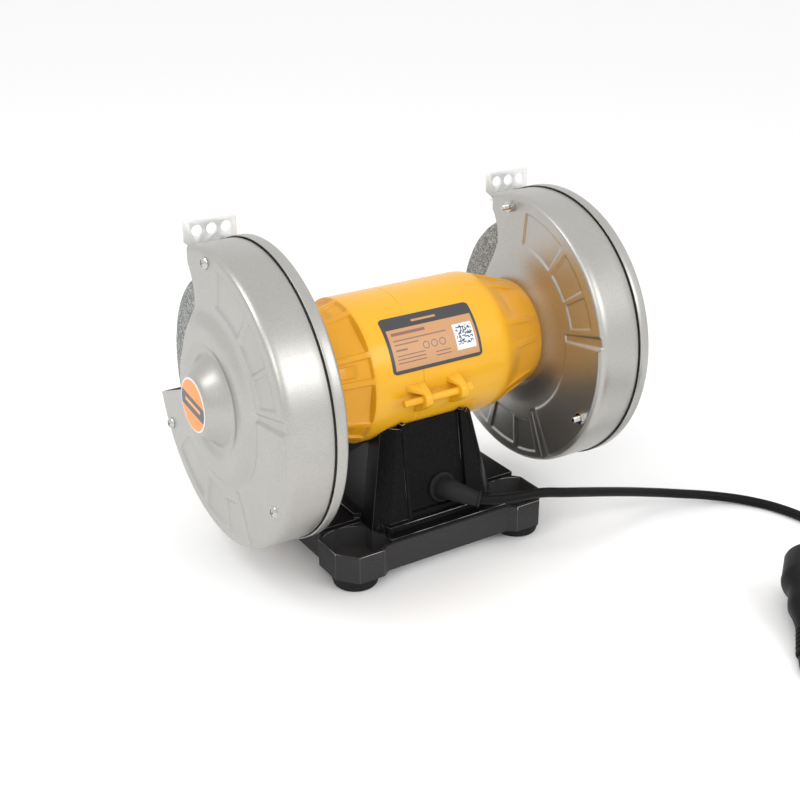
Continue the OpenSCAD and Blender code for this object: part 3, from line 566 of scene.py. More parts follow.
SILVER = silver_paint()
YELLOW = yellow_paint()
BLACK = black_paint()
BLACK_EDGE_HIGHLIGHT = edge_highlight_black()
GRIT = grit_stone()
CARD = varied("blotter_card", (0.50, 0.36, 0.20), 0.8, grain=1800.0, depth=0.00006)
COPPER = wound_copper()
CORE = laminated_steel()
LABEL = label_print()
BADGE = badge_print()
ZINC = brushed("zinc_plate", (0.88, 0.88, 0.87), 0.34, (1.0, 12.0, 1.0), metallic=0.5)
SCREW = brushed("bright_screw", (0.58, 0.58, 0.57), 0.2, (1.0, 6.0, 6.0))
SHAFT = brushed("ground_shaft", (0.62, 0.63, 0.65), 0.25, (30.0, 1.0, 1.0))
ALUMINIUM = brushed("plain_aluminium", (0.74, 0.75, 0.76), 0.35, (8.0, 1.0, 1.0))
BEARING = brushed("bearing_steel", (0.66, 0.67, 0.69), 0.15, (1.0, 9.0, 9.0))
BRASS = brushed("plug_pin_nickel", (0.76, 0.72, 0.62), 0.22, (1.0, 1.0, 9.0))
FOOT_RUBBER = jacket("foot_rubber", (0.014, 0.014, 0.014), 0.6)
BOOT_RUBBER = jacket("boot_rubber", (0.015, 0.015, 0.0155), 0.5)
JACKET = jacket("cord_jacket", (0.006, 0.006, 0.0063), 0.42)
PLUG_PLASTIC = jacket("plug_plastic", (0.013, 0.013, 0.014), 0.45)
SWITCH_PLASTIC = jacket("switch_plastic", (0.02, 0.02, 0.021), 0.4)
TERMINAL = varied("terminal_plastic", (0.78, 0.77, 0.72), 0.5)


# ---------- mains lead ----------

CORD_D = 6.4
ROUTE_OUT = [(-19, 67, 42), (-22.5, 70, 41.8), (-27, 74.5, 42.5), (-33, 79.5, 44), (-40, 83, 45),
             (-55, 85, 44), (-75, 87, 39.5), (-98, 86.5, 33), (-123, 85.5, 25.5), (-148, 85.5, 18),
             (-177, 90, 10.5), (-202, 99, 5.5), (-221, 116, 3.5), (-231, 138, 3.5), (-235, 165, 3.5),
             (-237.5, 200, 3.5), (-238.5, 240, 3.5)]
ROUTE_BACK = [(-193, 319.5, 16), (-178, 318, 14), (-160, 316, 9), (-141, 314, 5), (-122, 312, 3.5),
              (-111, 309, 3.5), (-102, 301, 3.5), (-97, 292, 3.5), (-96.5, 281, 3.5), (-100, 270, 3.5),
              (-107, 262, 3.5)]
COIL_CENTRE = (-197.0, 278.0)
COIL_R = 38.4


def coil_points():
    """Turns laid in two columns and three layers, out, in, up, out, up."""
    outer, inner = COIL_R + CORD_D / 2, COIL_R - CORD_D / 2
    low, mid, high = 3.4, 9.8, 16.2
    stations = [(outer, low), (inner, low), (inner, mid), (outer, mid), (outer, high)]
    turns = 5.266
    change = 0.16
    per_turn = 20
    count = int(round(turns * per_turn))
    points = []
    for k in range(count + 1):
        t = turns * k / count
        lap = min(int(t), len(stations) - 1)
        r, z = stations[lap]
        if lap < len(stations) - 1 and t - lap > 1 - change:
            w = (t - lap - 1 + change) / change
            w = w * w * (3 - 2 * w)
            r += (stations[lap + 1][0] - r) * w
            z += (stations[lap + 1][1] - z) * w
        a = math.radians(180.0 - 360.0 * t)
        points.append((COIL_CENTRE[0] + r * math.cos(a), COIL_CENTRE[1] + r * math.sin(a), z))
    return points


def add_cord():
    points = ROUTE_OUT + coil_points() + ROUTE_BACK[1:]
    curve = bpy.data.curves.new("mains_lead", "CURVE")
    curve.dimensions = "3D"
    curve.bevel_depth = CORD_D / 2 * MM
    curve.bevel_resolution = 6
    curve.resolution_u = 6
    curve.use_fill_caps = True
    spline = curve.splines.new("BEZIER")
    spline.bezier_points.add(len(points) - 1)
    for point, place_mm in zip(spline.bezier_points, points):
        point.co = Vector(place_mm) * MM
        point.handle_left_type = point.handle_right_type = "AUTO"
    cord = new_object("mains_lead", curve)
    cord.data.materials.append(JACKET)
    return cord


cord = add_cord()


def add_boot():
    """Strain relief: a flange on the panel and a ringed sleeve bent by the lead."""
    slope = (COLUMN_LOW[1] - COLUMN_HIGH[1]) / (COLUMN_TOP - DECK_Z)
    out = Vector((0.0, 1.0, slope)).normalized()
    x, z, panel_depth = -4.5, 46.0, 2.6
    root = Vector((x, COLUMN_LOW[1] - (z - DECK_Z) * slope - panel_depth, z))
    route = [root + out * d for d in (-1.0, 0.1, 1.7, 2.4, 2.5, 3.4, 4.4)]
    radii = [9.9, 10.0, 10.0, 9.2, 8.4, 7.7, 7.5]
    bend = [(-6, 55, 47), (-9, 59.2, 45.9), (-12.6, 62.4, 44.2), (-16.2, 64.7, 42.7), ROUTE_OUT[0]]
    anchors = [route[-1]] + [Vector(p) for p in bend]
    sizes = [7.5, 6.9, 6.3, 5.6, 5.0, 4.9]
    per = 8
    for i in range(len(anchors) - 1):
        before, after = anchors[max(i - 1, 0)], anchors[min(i + 2, len(anchors) - 1)]
        for k in range(1, per + 1):
            t = k / per
            a, b = anchors[i], anchors[i + 1]
            m0, m1 = (b - before) * 0.5, (after - a) * 0.5
            h = t * t * (3 - 2 * t)
            route.append(a * (1 - h) + b * h + m0 * (t * (1 - t) ** 2) - m1 * (t * t * (1 - t)))
            radii.append(sizes[i] * (1 - t) + sizes[i + 1] * t)
    last = route[-1]
    along = (last - route[-2]).normalized()
    radii[-2:] = [4.75, 5.0]
    route += [last + along * d for d in (0.3, 1.7, 2.0, 1.2)]
    radii += [5.3, 5.3, 4.9, 3.5]
    boot = tube("strain_relief", route, radii, 40)
    complete(boot, 30.0, BOOT_RUBBER, "cord_boot")


add_boot()


# ---------- plug ----------

PLUG_TAIL = Vector((-107.0, 262.0, 3.5))
PLUG_TURN = Matrix.Rotation(math.radians(218.0), 4, "Z") @ Matrix.Rotation(math.radians(90.0 - 16.0), 4, "Y")
PLUG_AT = Matrix.Translation(PLUG_TAIL * MM) @ PLUG_TURN


def add_plug():
    """Moulded two-pin plug with earth grooves, a grip ridge and a slotted tail."""
    tail = [(0.0, 1.0), (4.4, 1.0), (4.7, 1.6)]
    for k in range(5):
        z = 4.0 + 3.2 * k
        r = 4.9 + 0.3 * k
        tail += [(r, z - 1.2), (r, z), (r - 0.9, z + 0.3), (r - 0.9, z + 1.3), (r + 0.1, z + 1.6)]
    head = [(6.5, 21.0), (8.0, 26.0), (10.0, 31.0), (12.3, 35.5), (12.9, 40.0), (13.0, 47.0), (14.6, 50.5),
            (17.4, 54.0), (18.2, 56.0), (18.4, 58.0), (18.4, 73.4), (18.1, 74.4), (17.2, 75.0), (14.0, 75.0),
            (13.6, 74.3), (0.0, 74.3)]
    body = turned("plug_grip", tail + head, 72, axis="Z")
    for side in (-1, 1):
        y = side * 18.0
        boolean(body, block("slot", -3.0, 3.0, y - 1.3, y + 1.3, 58.0, 88.0), "DIFFERENCE")
        for k in range(6):
            z = 34.5 + 2.6 * k
            boolean(body, block("rib", side * 12.4, side * 16.0, -5.5, 5.5, z, z + 1.1), "DIFFERENCE")
    body.data.transform(PLUG_AT)
    complete(body, 32.0, PLUG_PLASTIC, "plug_body")
    pin = [(0.0, 74.0), (2.4, 74.0), (2.4, 84.0), (2.3, 84.3), (2.4, 84.6), (2.4, 92.3), (2.2, 93.3),
           (1.4, 94.0), (0.0, 94.0)]
    pins = join("plug_contacts", [turned("pin", pin, 32, (x, 0.0), "Z") for x in (-9.5, 9.5)])
    pins.data.transform(PLUG_AT)
    complete(pins, 38.0, BRASS, "plug_pins")
    return [body, pins]


plug = add_plug()
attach(cord, "frame")
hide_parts("power_cord", "cord_coil", "cord_tail")


# ---------- wheel guards ----------

# The plane across the guards in front, where the mouths start and the shield plates stand.
FRONT_Y = -40.6
# Outline of a guard's mouth in (y, z) from the shaft.
MOUTH = [(FRONT_Y, 130.0), (FRONT_Y, 83.6), (-34.0, 81.8), (-28.4, 79.2), (-25.2, 75.6), (-23.0, 71.0),
         (-21.2, 65.5), (-20.2, 60.0), (-20.7, 55.0), (-23.0, 49.8), (FRONT_Y, 13.2), (-43.0, 7.0),
         (-43.8, 1.0), (-43.4, -6.0), (-44.6, -9.3), (-86.0, -26.0), (-130.0, -42.0)]
# Pressed panels of a guard face: inner and outer radius, first and last angle, and height.
PANELS = [(62.0, 84.0, 55.0, 82.0, -1.0), (62.0, 83.0, 33.0, 51.0, -1.0), (63.0, 83.0, 16.0, 30.0, -1.0),
          (56.5, 92.0, 8.2, 12.4, -1.0), (56.5, 89.5, -61.0, 7.4, 0.7), (57.0, 92.0, -67.0, -63.0, -1.0),
          (64.0, 86.0, -85.0, -71.0, -1.0), (62.0, 84.0, -106.0, -88.0, -1.0),
          (62.0, 84.0, -137.0, -110.0, -1.0)]
EDGE = 0.8


def ease(t):
    """0 below 0, 1 above 1 and a smooth rise between them."""
    t = min(max(t, 0.0), 1.0)
    return t * t * (3.0 - 2.0 * t)


def panel_lift(r, a, panels):
    """Height of the pressed panels at a radius and an angle."""
    total = 0.0
    for r0, r1, a0, a1, height in panels:
        along = math.radians(1.0) * r
        edges = (r - r0, r1 - r, (a - a0) * along, (a1 - a) * along)
        if min(edges) > -EDGE:
            total += height * math.prod(ease(d / EDGE / 2.0 + 0.5) for d in edges)
    return total


def angles_for(panels, base=2.0):
    """Column angles all round, with extra ones along each panel's ends."""
    found = set()
    for _, _, a0, a1, _ in panels:
        for a in (a0, a1):
            found.update(round(a + d, 3) for d in (-1.0, -0.5, 0.0, 0.5, 1.0))
    fixed = sorted(found)
    for k in range(int(360 / base)):
        a = -180.0 + base * k
        if all(abs(a - f) > 0.45 for f in fixed):
            found.add(a)
    return sorted(found)


def soften(points, r, reach=1.1):
    """Height on a [radius, height] line at r, averaged over a short reach."""
    def at(q):
        q = abs(q)
        for (r0, h0), (r1, h1) in zip(points, points[1:]):
            if r0 <= q <= r1:
                return h0 + (h1 - h0) * (q - r0) / max(r1 - r0, 1e-9)
        return points[-1][1]
    return sum(at(r + reach * k / 3.0) for k in range(-3, 4)) / 7.0


def cut_along(bm, faces, point, normal):
    """Cuts edges into some of the faces where a plane crosses them."""
    geometry = faces + list({e for f in faces for e in f.edges}) + list({v for f in faces for v in f.verts})
    bmesh.ops.bisect_plane(bm, geom=geometry, dist=1e-6, plane_co=[c * MM for c in point], plane_no=normal)


def cut_mouth(bm, seam):
    """Cuts the mouth's outline into the faces, then removes what is inside it."""
    for (y0, z0), (y1, z1) in zip(MOUTH, MOUTH[1:]):
        start, end = Vector((y0, z0)), Vector((y1, z1))
        middle, half = (start + end) / 2.0, (end - start).length / 2.0
        along = (end - start).normalized()
        near = []
        for face in bm.faces:
            c = face.calc_center_median() / MM
            d = Vector((c.y, c.z - SHAFT_Z)) - middle
            if abs(d.dot(along)) < half + 6.0 and abs(d.dot(Vector((-along.y, along.x)))) < 6.0:
                near.append(face)
        cut_along(bm, near, (0.0, y0, SHAFT_Z + z0), (0.0, -along.y, along.x))
    start, end = Vector((seam + 22.5, FRONT_Y)), Vector((seam + 30.8, -26.0))
    normal = Vector((start.y - end.y, end.x - start.x)).normalized()
    cut_along(bm, [f for f in bm.faces if is_tip(f, seam)], (*start, 0.0), (*normal, 0.0))
    outline = MOUTH + [(-130.0, 130.0)]
    gone = []
    for face in bm.faces:
        c = face.calc_center_median() / MM
        cut = is_tip(face, seam) and (Vector((c.x, c.y)) - start).dot(normal) < 0.0
        if cut or inside(c.y, c.z - SHAFT_Z, outline):
            gone.append(face)
    bmesh.ops.delete(bm, geom=gone, context="FACES")


def is_tip(face, seam):
    """Is a face part of the drum's corner above the mouth?"""
    c = face.calc_center_median() / MM
    return c.x > seam + 18.0 and c.y < -22.0 and c.z - SHAFT_Z > 66.0


def inside(y, z, outline):
    """Is a point inside a closed outline?"""
    hit = False
    for (y0, z0), (y1, z1) in zip(outline, outline[1:] + outline[:1]):
        if (z0 > z) != (z1 > z) and y < y0 + (z - z0) * (y1 - y0) / (z1 - z0):
            hit = not hit
    return hit


def pressed_shell(name, seam, face, rim, panels, node, inner_r=0.3, side=1.0):
    """Sheet pressed into a drum. face is [radius, height] from the middle to the flat edge, and rim
    goes on round the corner and along the wall. Heights run from the seam, on the given side."""
    radii = {r for r, _ in face} | {inner_r}
    radii |= {p[k] + d for p in panels for k in (0, 1) for d in (-EDGE, -EDGE / 2, 0.0, EDGE / 2, EDGE)}
    radii |= {inner_r + 1.7 * k for k in range(60)}
    edge = face[-1][0]
    radii = sorted(r for r in radii if inner_r <= r <= edge)
    kept = [radii[0]]
    for r in radii[1:]:
        if r - kept[-1] > 0.4:
            kept.append(r)
    angles = angles_for(panels)
    rows = [(r, soften(face, r)) for r in kept] + rim
    verts = []
    for r, height in rows:
        verts += [polar(seam + side * (height + panel_lift(r, a, panels)), r, a) for a in angles]
    obj = mesh_object(name, verts, grid_faces(len(rows), len(angles)))
    if side > 0:
        edit(obj, lambda bm: bmesh.ops.reverse_faces(bm, faces=bm.faces))
    edit(obj, lambda bm: cut_mouth(bm, seam))
    sheet = obj.modifiers.new("sheet", "SOLIDIFY")
    sheet.thickness = SHEET * MM
    sheet.offset = -1.0
    sheet.use_even_offset = False
    apply_modifiers(obj)
    complete(obj, 42.0, SILVER, node)


def add_guards():
    """Both drums and both covers. The near drum carries the hub, and on the far guard the cover does."""
    wall = [(91.6, 29.2), (92.4, 28.0), (92.85, 26.4)]
    wall += [(93.0, height) for height in (24.2, 23.8, 18.0, 12.0, 6.0, 0.9)]
    wall += [(92.85, 0.45), (92.5, 0.2), (91.9, 0.1), (91.8, -0.2), (91.8, -3.0), (91.8, -6.6)]
    near_face = [(0.0, 44.0), (17.4, 44.0), (18.2, 43.7), (19.6, 42.4), (25.6, 34.4), (28.0, 31.8),
                 (30.0, 31.2), (32.0, 31.5), (36.5, 33.4), (44.0, 33.6), (48.0, 32.9), (54.0, 30.3),
                 (56.0, 30.0), (90.2, 30.0), (91.0, 29.7)]
    far_face = [(8.0, 33.0), (36.5, 33.0), (38.5, 32.8), (45.0, 30.9), (49.0, 30.2), (52.0, 30.0),
                (56.0, 30.0), (90.2, 30.0), (91.0, 29.7)]
    pressed_shell("guard_face_near", NEAR_SEAM, near_face, wall, PANELS, "guard_drum_near")
    turned_panels = [(r0, r1, a0 + 1.5, a1 + 1.5, h) for r0, r1, a0, a1, h in PANELS]
    pressed_shell("guard_body_far", FAR_SEAM, far_face, wall, turned_panels, "guard_drum_far", inner_r=9.5)
    rim = [(92.8, 8.0), (93.6, 7.5), (94.1, 6.7), (94.2, 5.8), (94.2, 3.0), (94.2, 0.7), (94.05, 0.45),
           (93.7, 0.4)]
    plain = [(9.0, 8.2), (60.0, 8.2), (62.0, 8.2), (91.0, 8.2), (92.0, 8.15)]
    ring = [(42.0, 58.0, -190.0, 190.0, -1.2)]
    pressed_shell("guard_cover_plain_near", NEAR_SEAM, plain, rim, ring, "guard_cover_near", inner_r=9.5,
                  side=-1.0)
    hub = [(0.0, 22.2), (18.6, 22.2), (19.6, 21.8), (21.4, 20.4), (29.0, 11.8), (31.0, 10.6), (34.0, 10.2),
           (40.0, 9.8), (45.0, 8.4), (48.0, 8.2), (91.0, 8.2), (92.0, 8.15)]
    pressed_shell("guard_cover_hub_far", FAR_SEAM, hub, rim, PANELS, "guard_cover_far", side=-1.0)


add_guards()


def add_bracket(name, seam, node):
    """Plate for an eye shield, bent off a strip that follows the drum wall."""
    x0, x1 = seam - 9.0, seam + 26.0
    corner = 2.6
    outline = [(x0, 79.6), (x1 - 8.0, 79.6), (x1, 86.5)]
    outline += arc(corner, range(0, 91, 15), (x1 - corner, 96.9))
    outline += arc(corner, range(90, 181, 15), (x0 + corner, 96.9))
    plate = prism("plate", outline, 0.0, 1.2)
    for i in (-1, 0, 1):
        x = seam + 7.5 + i * 9.7
        hole = turned("hole", [(0.0, -3.0), (3.5, -3.0), (3.5, 5.0), (0.0, 5.0)], 48, (x, 92.5), "Z")
        boolean(plate, hole, "DIFFERENCE")
    plate.data.transform(Matrix(((1, 0, 0, 0), (0, 0, -1, 0), (0, 1, 0, 0), (0, 0, 0, 1))))
    moved(outward(plate), 0.0, FRONT_Y, SHAFT_Z)
    bevel(plate, 0.22, 2, 50.0)
    outer = 90.6
    angles = [math.degrees(math.acos(y / outer)) for y in steps(FRONT_Y - 1.0, -28.0, 10)]
    strip = arc(outer, angles) + arc(89.5, reversed(angles))
    strap = moved(prism_x("strap", strip, seam - 6.3, seam + 22.3), 0.0, 0.0, SHAFT_Z)
    bevel(strap, 0.2, 2, 50.0)
    complete(join(name, [plate, strap]), 40.0, ZINC, node)


add_bracket("shield_plate_near", NEAR_SEAM, "shield_bracket_near")
add_bracket("shield_plate_far", FAR_SEAM, "shield_bracket_far")


def pan_screw(x_head, x_tip, y, z):
    """Cross-headed screw along X with a threaded tip."""
    s = 1.0 if x_head > x_tip else -1.0
    head = [(0.0, 2.75), (0.9, 2.7), (2.0, 2.35), (3.0, 1.65), (3.7, 0.8), (3.95, 0.25), (3.85, 0.0),
            (2.0, 0.0)]
    profile = [(r, x_head + s * h) for r, h in head]
    length = abs(x_head - x_tip)
    pitch = 0.8
    shank = max(length - 16.0, 1.0)
    profile.append((2.0, x_head - s * shank))
    k = 0
    while shank + pitch * (k + 1) < length - 0.6:
        at = shank + pitch * k
        profile += [(r, x_head - s * (at + d)) for r, d in ((1.98, 0.2), (1.66, 0.5), (1.98, 0.8))]
        k += 1
    profile += [(1.5, x_tip + s * 0.1), (1.3, x_tip), (0.0, x_tip)]
    screw = turned("screw", profile, 32, (y, SHAFT_Z + z))
    for a in (20.0, 110.0):
        groove = [(-0.45, -2.1), (0.45, -2.1), (0.45, 2.1), (-0.45, 2.1)]
        bar = prism_x("bar", groove, x_head + s * 1.5, x_head + s * 4.0)
        bar.data.transform(Matrix.Rotation(math.radians(a), 4, "X"))
        boolean(screw, moved(bar, 0.0, y, SHAFT_Z + z), "DIFFERENCE")
    return screw


def hex_nut(x0, x1, y, z, flat, bore, turn=0.0):
    """Chamfered hexagon nut along X."""
    corner = flat / math.sqrt(3.0)
    nut = prism_x("nut", arc(corner, [60 * k + turn for k in range(6)]), x0, x1)
    rise = (x1 - x0) * 0.12
    profile = [(bore / 2, x0), (flat / 2, x0), (corner + 0.01, x0 + rise), (corner + 0.01, x1 - rise),
               (flat / 2, x1), (bore / 2, x1), (bore / 2, x0)]
    boolean(nut, turned("chamfer", profile, 64), "INTERSECT")
    return moved(nut, 0.0, y, SHAFT_Z + z)


SCREW_RING = 85.0


def add_guard_fasteners():
    """Three screws and three nuts on each guard, with the heads on the outer side."""
    for name, seam, head, tip, nut_at, first in (("near", NEAR_SEAM, 30.0, -14.2, -11.4, 91.0),
                                                 ("far", FAR_SEAM, -8.2, 38.0, 30.0, 94.5)):
        screws, nuts = [], []
        for i, (y, z) in enumerate(arc(SCREW_RING, (first, first + 120.0, first + 240.0))):
            screws.append(pan_screw(seam + head, seam + tip, y, z))
            nuts.append(hex_nut(seam + nut_at, seam + nut_at + 3.2, y, z, 7.0, 4.1, 15.0 + 25.0 * i))
        screws, nuts = join("guard_screw_set_" + name, screws), join("guard_nut_set_" + name, nuts)
        complete(screws, 35.0, SCREW, "guard_screws_" + name)
        complete(nuts, 30.0, SCREW, "guard_nuts_" + name)


add_guard_fasteners()


def add_badge(name, x, side, node):
    """Thin domed sticker on a hub."""
    profile = [(0.0, 0.5), (8.0, 0.5), (14.0, 0.47), (16.2, 0.42), (16.9, 0.25), (17.0, 0.0), (0.0, 0.0)]
    badge = turned(name, [(r, x + side * h) for r, h in profile], 96, (0.0, SHAFT_Z))
    complete(badge, 40.0, BADGE, node)


add_badge("hub_sticker_near", NEAR_SEAM + 44.0, 1.0, "hub_badge_near")
add_badge("hub_sticker_far", FAR_SEAM - 22.2, -1.0, "hub_badge_far")


# ---------- motor ----------

NEAR_CAP = [(0.0, 46.9), (0.03, 46.2), (0.1, 45.2), (0.3, 43.0), (0.6, 40.2), (0.85, 37.6), (1.0, 36.2)]
FAR_CAP = [(0.0, 47.0), (0.05, 46.9), (0.12, 46.5), (0.2, 45.8), (0.3, 44.6), (0.45, 42.6), (0.65, 39.9),
           (0.85, 37.2), (1.0, 35.3)]


def along_line(points, t):
    """Height at t on a line of (t, height) points."""
    for (t0, h0), (t1, h1) in zip(points, points[1:]):
        if t <= t1:
            return h0 + (h1 - h0) * (t - t0) / (t1 - t0)
    return points[-1][1]


def cap_radius(t, a, profile, fade):
    """Outside of an end cap: ribs in pairs every 60 degrees, with recesses between them."""
    rib = along_line(profile, t)
    turn = (a - 11.0) % 60.0
    narrow, wide = turn - 10.5, turn - 40.5
    degree = math.radians(1.0) * rib
    in_narrow = ease((10.5 * degree - 2.0 - abs(narrow) * degree) / 0.9 + 0.5)
    in_wide = ease((19.5 * degree - 2.0 - abs(wide) * degree) / 0.9 + 0.5)
    chord = rib * math.cos(math.radians(19.5)) / math.cos(math.radians(min(abs(wide), 19.5)))
    window = 0.9 * ease((5.2 - abs(narrow)) / 0.6 + 0.5) * ease((0.11 - abs(t - 0.32)) / 0.02 + 0.5)
    deep = 1.5 + window if profile is NEAR_CAP else 1.5
    return rib - fade(t) * (deep * in_narrow + (rib - chord + 0.9) * in_wide)


def add_motor_shell(x_seam, x_barrel, x_end, profile):
    """One half of the motor's casing: barrel, ribbed cap and bore."""
    s = 1.0 if x_end > x_seam else -1.0
    near = profile is NEAR_CAP
    step = (0.0, 1.8, 2.4, 3.0, 3.6, 4.2)
    sector = [16.0, 16.6, 17.2, 21.5, 25.8, 26.4, 27.0, 38.5, 42.0, 46.0, 50.0, 54.0, 58.0, 62.0, 65.0]
    sector += [rib + sign * d for rib in (11.0, 32.0) for sign in (-1.0, 1.0) for d in step]
    angles = sorted({round((60.0 * k + a) % 360.0, 2) for k in range(6) for a in sector})
    rows = [(x_seam, BARREL_R - 3.0), (x_seam, BARREL_R - 0.4), (x_seam + s * 0.4, BARREL_R)]
    rows += [(x, BARREL_R) for x in steps(x_seam + s * 3.0, x_barrel - s * 0.6, 8)]
    rows = [(x, [r] * len(angles)) for x, r in rows]

    def fade(t):
        return ease((t - 0.004) / 0.022) if near else ease((t - 0.12) / 0.4) * ease((1.0 - t) / 0.5)

    marks = [0.0, 0.01, 0.02, 0.03, 0.05, 0.1, 0.15, 0.19, 0.21, 0.23, 0.32, 0.41, 0.43, 0.45]
    for t in marks + steps(0.5, 1.0, 10) if near else steps(0.0, 1.0, 32):
        x = x_barrel + (x_end - x_barrel) * t
        rows.append((x, [cap_radius(t, a, profile, fade) for a in angles]))
    bore = ((x_end, 10.0), (x_end - s * 3.0, 10.0), (x_end - s * 3.0, 31.0), (x_barrel, 43.0),
            (x_seam, BARREL_R - 3.0))
    rows += [(x, [r] * len(angles)) for x, r in bore]
    verts = [polar(x, r, a) for x, line in rows for r, a in zip(line, angles)]
    shell = mesh_object("shell", verts, grid_faces(len(rows), len(angles)))
    edit(shell, lambda bm: bmesh.ops.remove_doubles(bm, verts=bm.verts, dist=1e-6))
    return outward(shell)


BOLT_Y = 52.5
BOLT_Z = -7.3


def add_ear(x0, x1, side):
    """Rounded lug beside the barrel that takes the clamp bolt."""
    outline = [(42.0, BOLT_Z + 11.0), (49.5, BOLT_Z + 8.4), (54.5, BOLT_Z + 5.4)]
    outline += arc(5.6, range(40, -61, -20), (BOLT_Y, BOLT_Z))
    outline += [(50.0, BOLT_Z - 8.5), (42.0, BOLT_Z - 12.5)]
    ear = moved(prism_x("ear", [(side * p, q) for p, q in outline], x0, x1), 0.0, 0.0, SHAFT_Z)
    bevel(ear, 0.9, 3, 25.0)
    return ear


def add_gusset(x0, x1, side):
    """Web on top of a lug, narrowing away from it: (x0, full width) to (x1, none)."""
    top, low = BOLT_Z + 8.6, BOLT_Z + 5.0
    corners = [(x0, 44.0, top + 1.6), (x0, 55.0, top - 3.4), (x1, 45.5, top + 1.2),
               (x0, 44.0, low), (x0, 55.0, low - 1.2), (x1, 44.6, low)]
    faces = [(0, 1, 2), (5, 4, 3), (0, 3, 4, 1), (1, 4, 5, 2), (2, 5, 3, 0)]
    web = solid("web", [(x, side * y, SHAFT_Z + z) for x, y, z in corners], faces)
    bevel(web, 0.4, 2, 25.0)
    return web


def add_motor():
    seam = 9.5
    near = [add_motor_shell(seam, 44.0, 90.1, NEAR_CAP)]
    far = [add_motor_shell(seam, -51.0, -91.1, FAR_CAP)]
    for side in (-1.0, 1.0):
        near += [add_ear(seam + 0.1, 15.0, side), add_gusset(14.5, 25.0, side)]
        far += [add_ear(-17.0, -11.5, side), add_gusset(-12.0, -6.0, side)]
    for end, parts in (("near", near), ("far", far)):
        complete(join("motor_case_" + end, parts), 30.0, YELLOW, "motor_shell_" + end)
    bolts = []
    for side in (-1.0, 1.0):
        profile = [(0.0, -18.0), (2.45, -18.0)]
        for k in range(10):
            x = 15.6 + 1.1 * k
            profile += [(2.45, x), (2.2, x + 0.35), (2.2, x + 0.6)]
        profile += [(2.45, 27.0), (2.1, 28.0), (0.0, 28.0)]
        bolts += [turned("bolt", profile, 32, (side * BOLT_Y, SHAFT_Z + BOLT_Z)),
                  hex_nut(-21.0, -17.0, side * BOLT_Y, BOLT_Z, 8.0, 0.2, 10.0)]
    complete(join("clamp_bolt_pair", bolts), 30.0, YELLOW, "clamp_bolts")


add_motor()


def add_label():
    """Curved label on the barrel, with rounded corners and a thin edge."""
    u0, u1, v0, v1, corner = -31.0, 35.0, 9.8, 45.9, 2.6
    rows, cols = 40, 24
    verts = []
    for lift in (0.02, 0.34):
        for i in range(rows + 1):
            v = v0 + (v1 - v0) * i / rows
            edge = min(v - v0, v1 - v)
            cut = corner - math.sqrt(max(corner ** 2 - max(corner - edge, 0.0) ** 2, 0.0))
            for j in range(cols + 1):
                u = u0 + cut + (u1 - u0 - 2 * cut) * j / cols
                verts.append(polar(-u, BARREL_R + lift, math.degrees(v / BARREL_R)))
    layer = (rows + 1) * (cols + 1)
    low = grid_faces(rows + 1, cols + 1, closed=False)
    faces = low + [tuple(k + layer for k in f) for f in low]
    edge = list(range(cols + 1)) + [i * (cols + 1) + cols for i in range(1, rows + 1)]
    edge += [rows * (cols + 1) + j for j in range(cols - 1, -1, -1)]
    edge += [i * (cols + 1) for i in range(rows - 1, 0, -1)]
    faces += [(a, b, b + layer, a + layer) for a, b in zip(edge, edge[1:] + edge[:1])]
    complete(solid("rating_sticker", verts, faces), 40.0, LABEL, "rating_label")


add_label()


# ---------- base ----------

def mirrored(quarter):
    """A closed outline from its points in the (+x, +y) quarter, listed from the x axis to the y axis."""
    back = list(reversed(quarter))
    return quarter + [(-x, y) for x, y in back] + [(-x, -y) for x, y in quarter] + [(x, -y) for x, y in back]


OUTLINE = [(75.5, 29.0), (79.6, 34.0), (79.6, 55.24), (69.3, 67.6), (51.4, 67.6), (46.2, 63.5)]


def inset(points, d):
    """A closed outline drawn in by d."""
    out = []
    corners = [Vector(p) for p in points]
    after = corners[1:] + corners[:1]
    s = 1.0 if sum(b.x * c.y - c.x * b.y for b, c in zip(corners, after)) > 0 else -1.0
    for a, b, c in zip(corners[-1:] + corners, corners, after):
        n0 = Vector((-(b - a).y, (b - a).x)).normalized() * s
        n1 = Vector((-(c - b).y, (c - b).x)).normalized() * s
        corner = n0 + n1
        out.append(tuple(b + corner * (d / max(1e-6, 0.5 * corner.length_squared))))
    return out


def column_outline(hx, hy):
    c = COLUMN_CORNER
    return [(hx, c - hy), (hx, hy - c), (hx - c, hy), (c - hx, hy), (-hx, hy - c), (-hx, c - hy),
            (c - hx, -hy), (hx - c, -hy)]


def tapered_block(name, low, z0, high, z1, depth):
    """A block that leans: half width and front distance are low's at z0 and high's at z1."""
    (w0, y0), (w1, y1) = low, high
    corners = [(-w0, y0, z0), (w0, y0, z0), (w0, y0 + depth, z0), (-w0, y0 + depth, z0),
               (-w1, y1, z1), (w1, y1, z1), (w1, y1 + depth, z1), (-w1, y1 + depth, z1)]
    faces = [(0, 1, 2, 3), (7, 6, 5, 4), (0, 4, 5, 1), (1, 5, 6, 2), (2, 6, 7, 3), (3, 7, 4, 0)]
    return solid(name, corners, faces)


def strip(name, x_low, x_high, half, y_low, y_high, depth):
    """A bar up the column's rear face, from z = 31 to z = 95, that leans from x_low to x_high."""
    low, high = 31.0, 95.0
    bar = tapered_block(name, (half, y_low), low, (half, y_high), high, depth)
    lean = Matrix.Identity(4)
    lean[0][2] = (x_high - x_low) / (high - low)
    lean[0][3] = (x_low - lean[0][2] * low) * MM
    bar.data.transform(lean)
    return bar


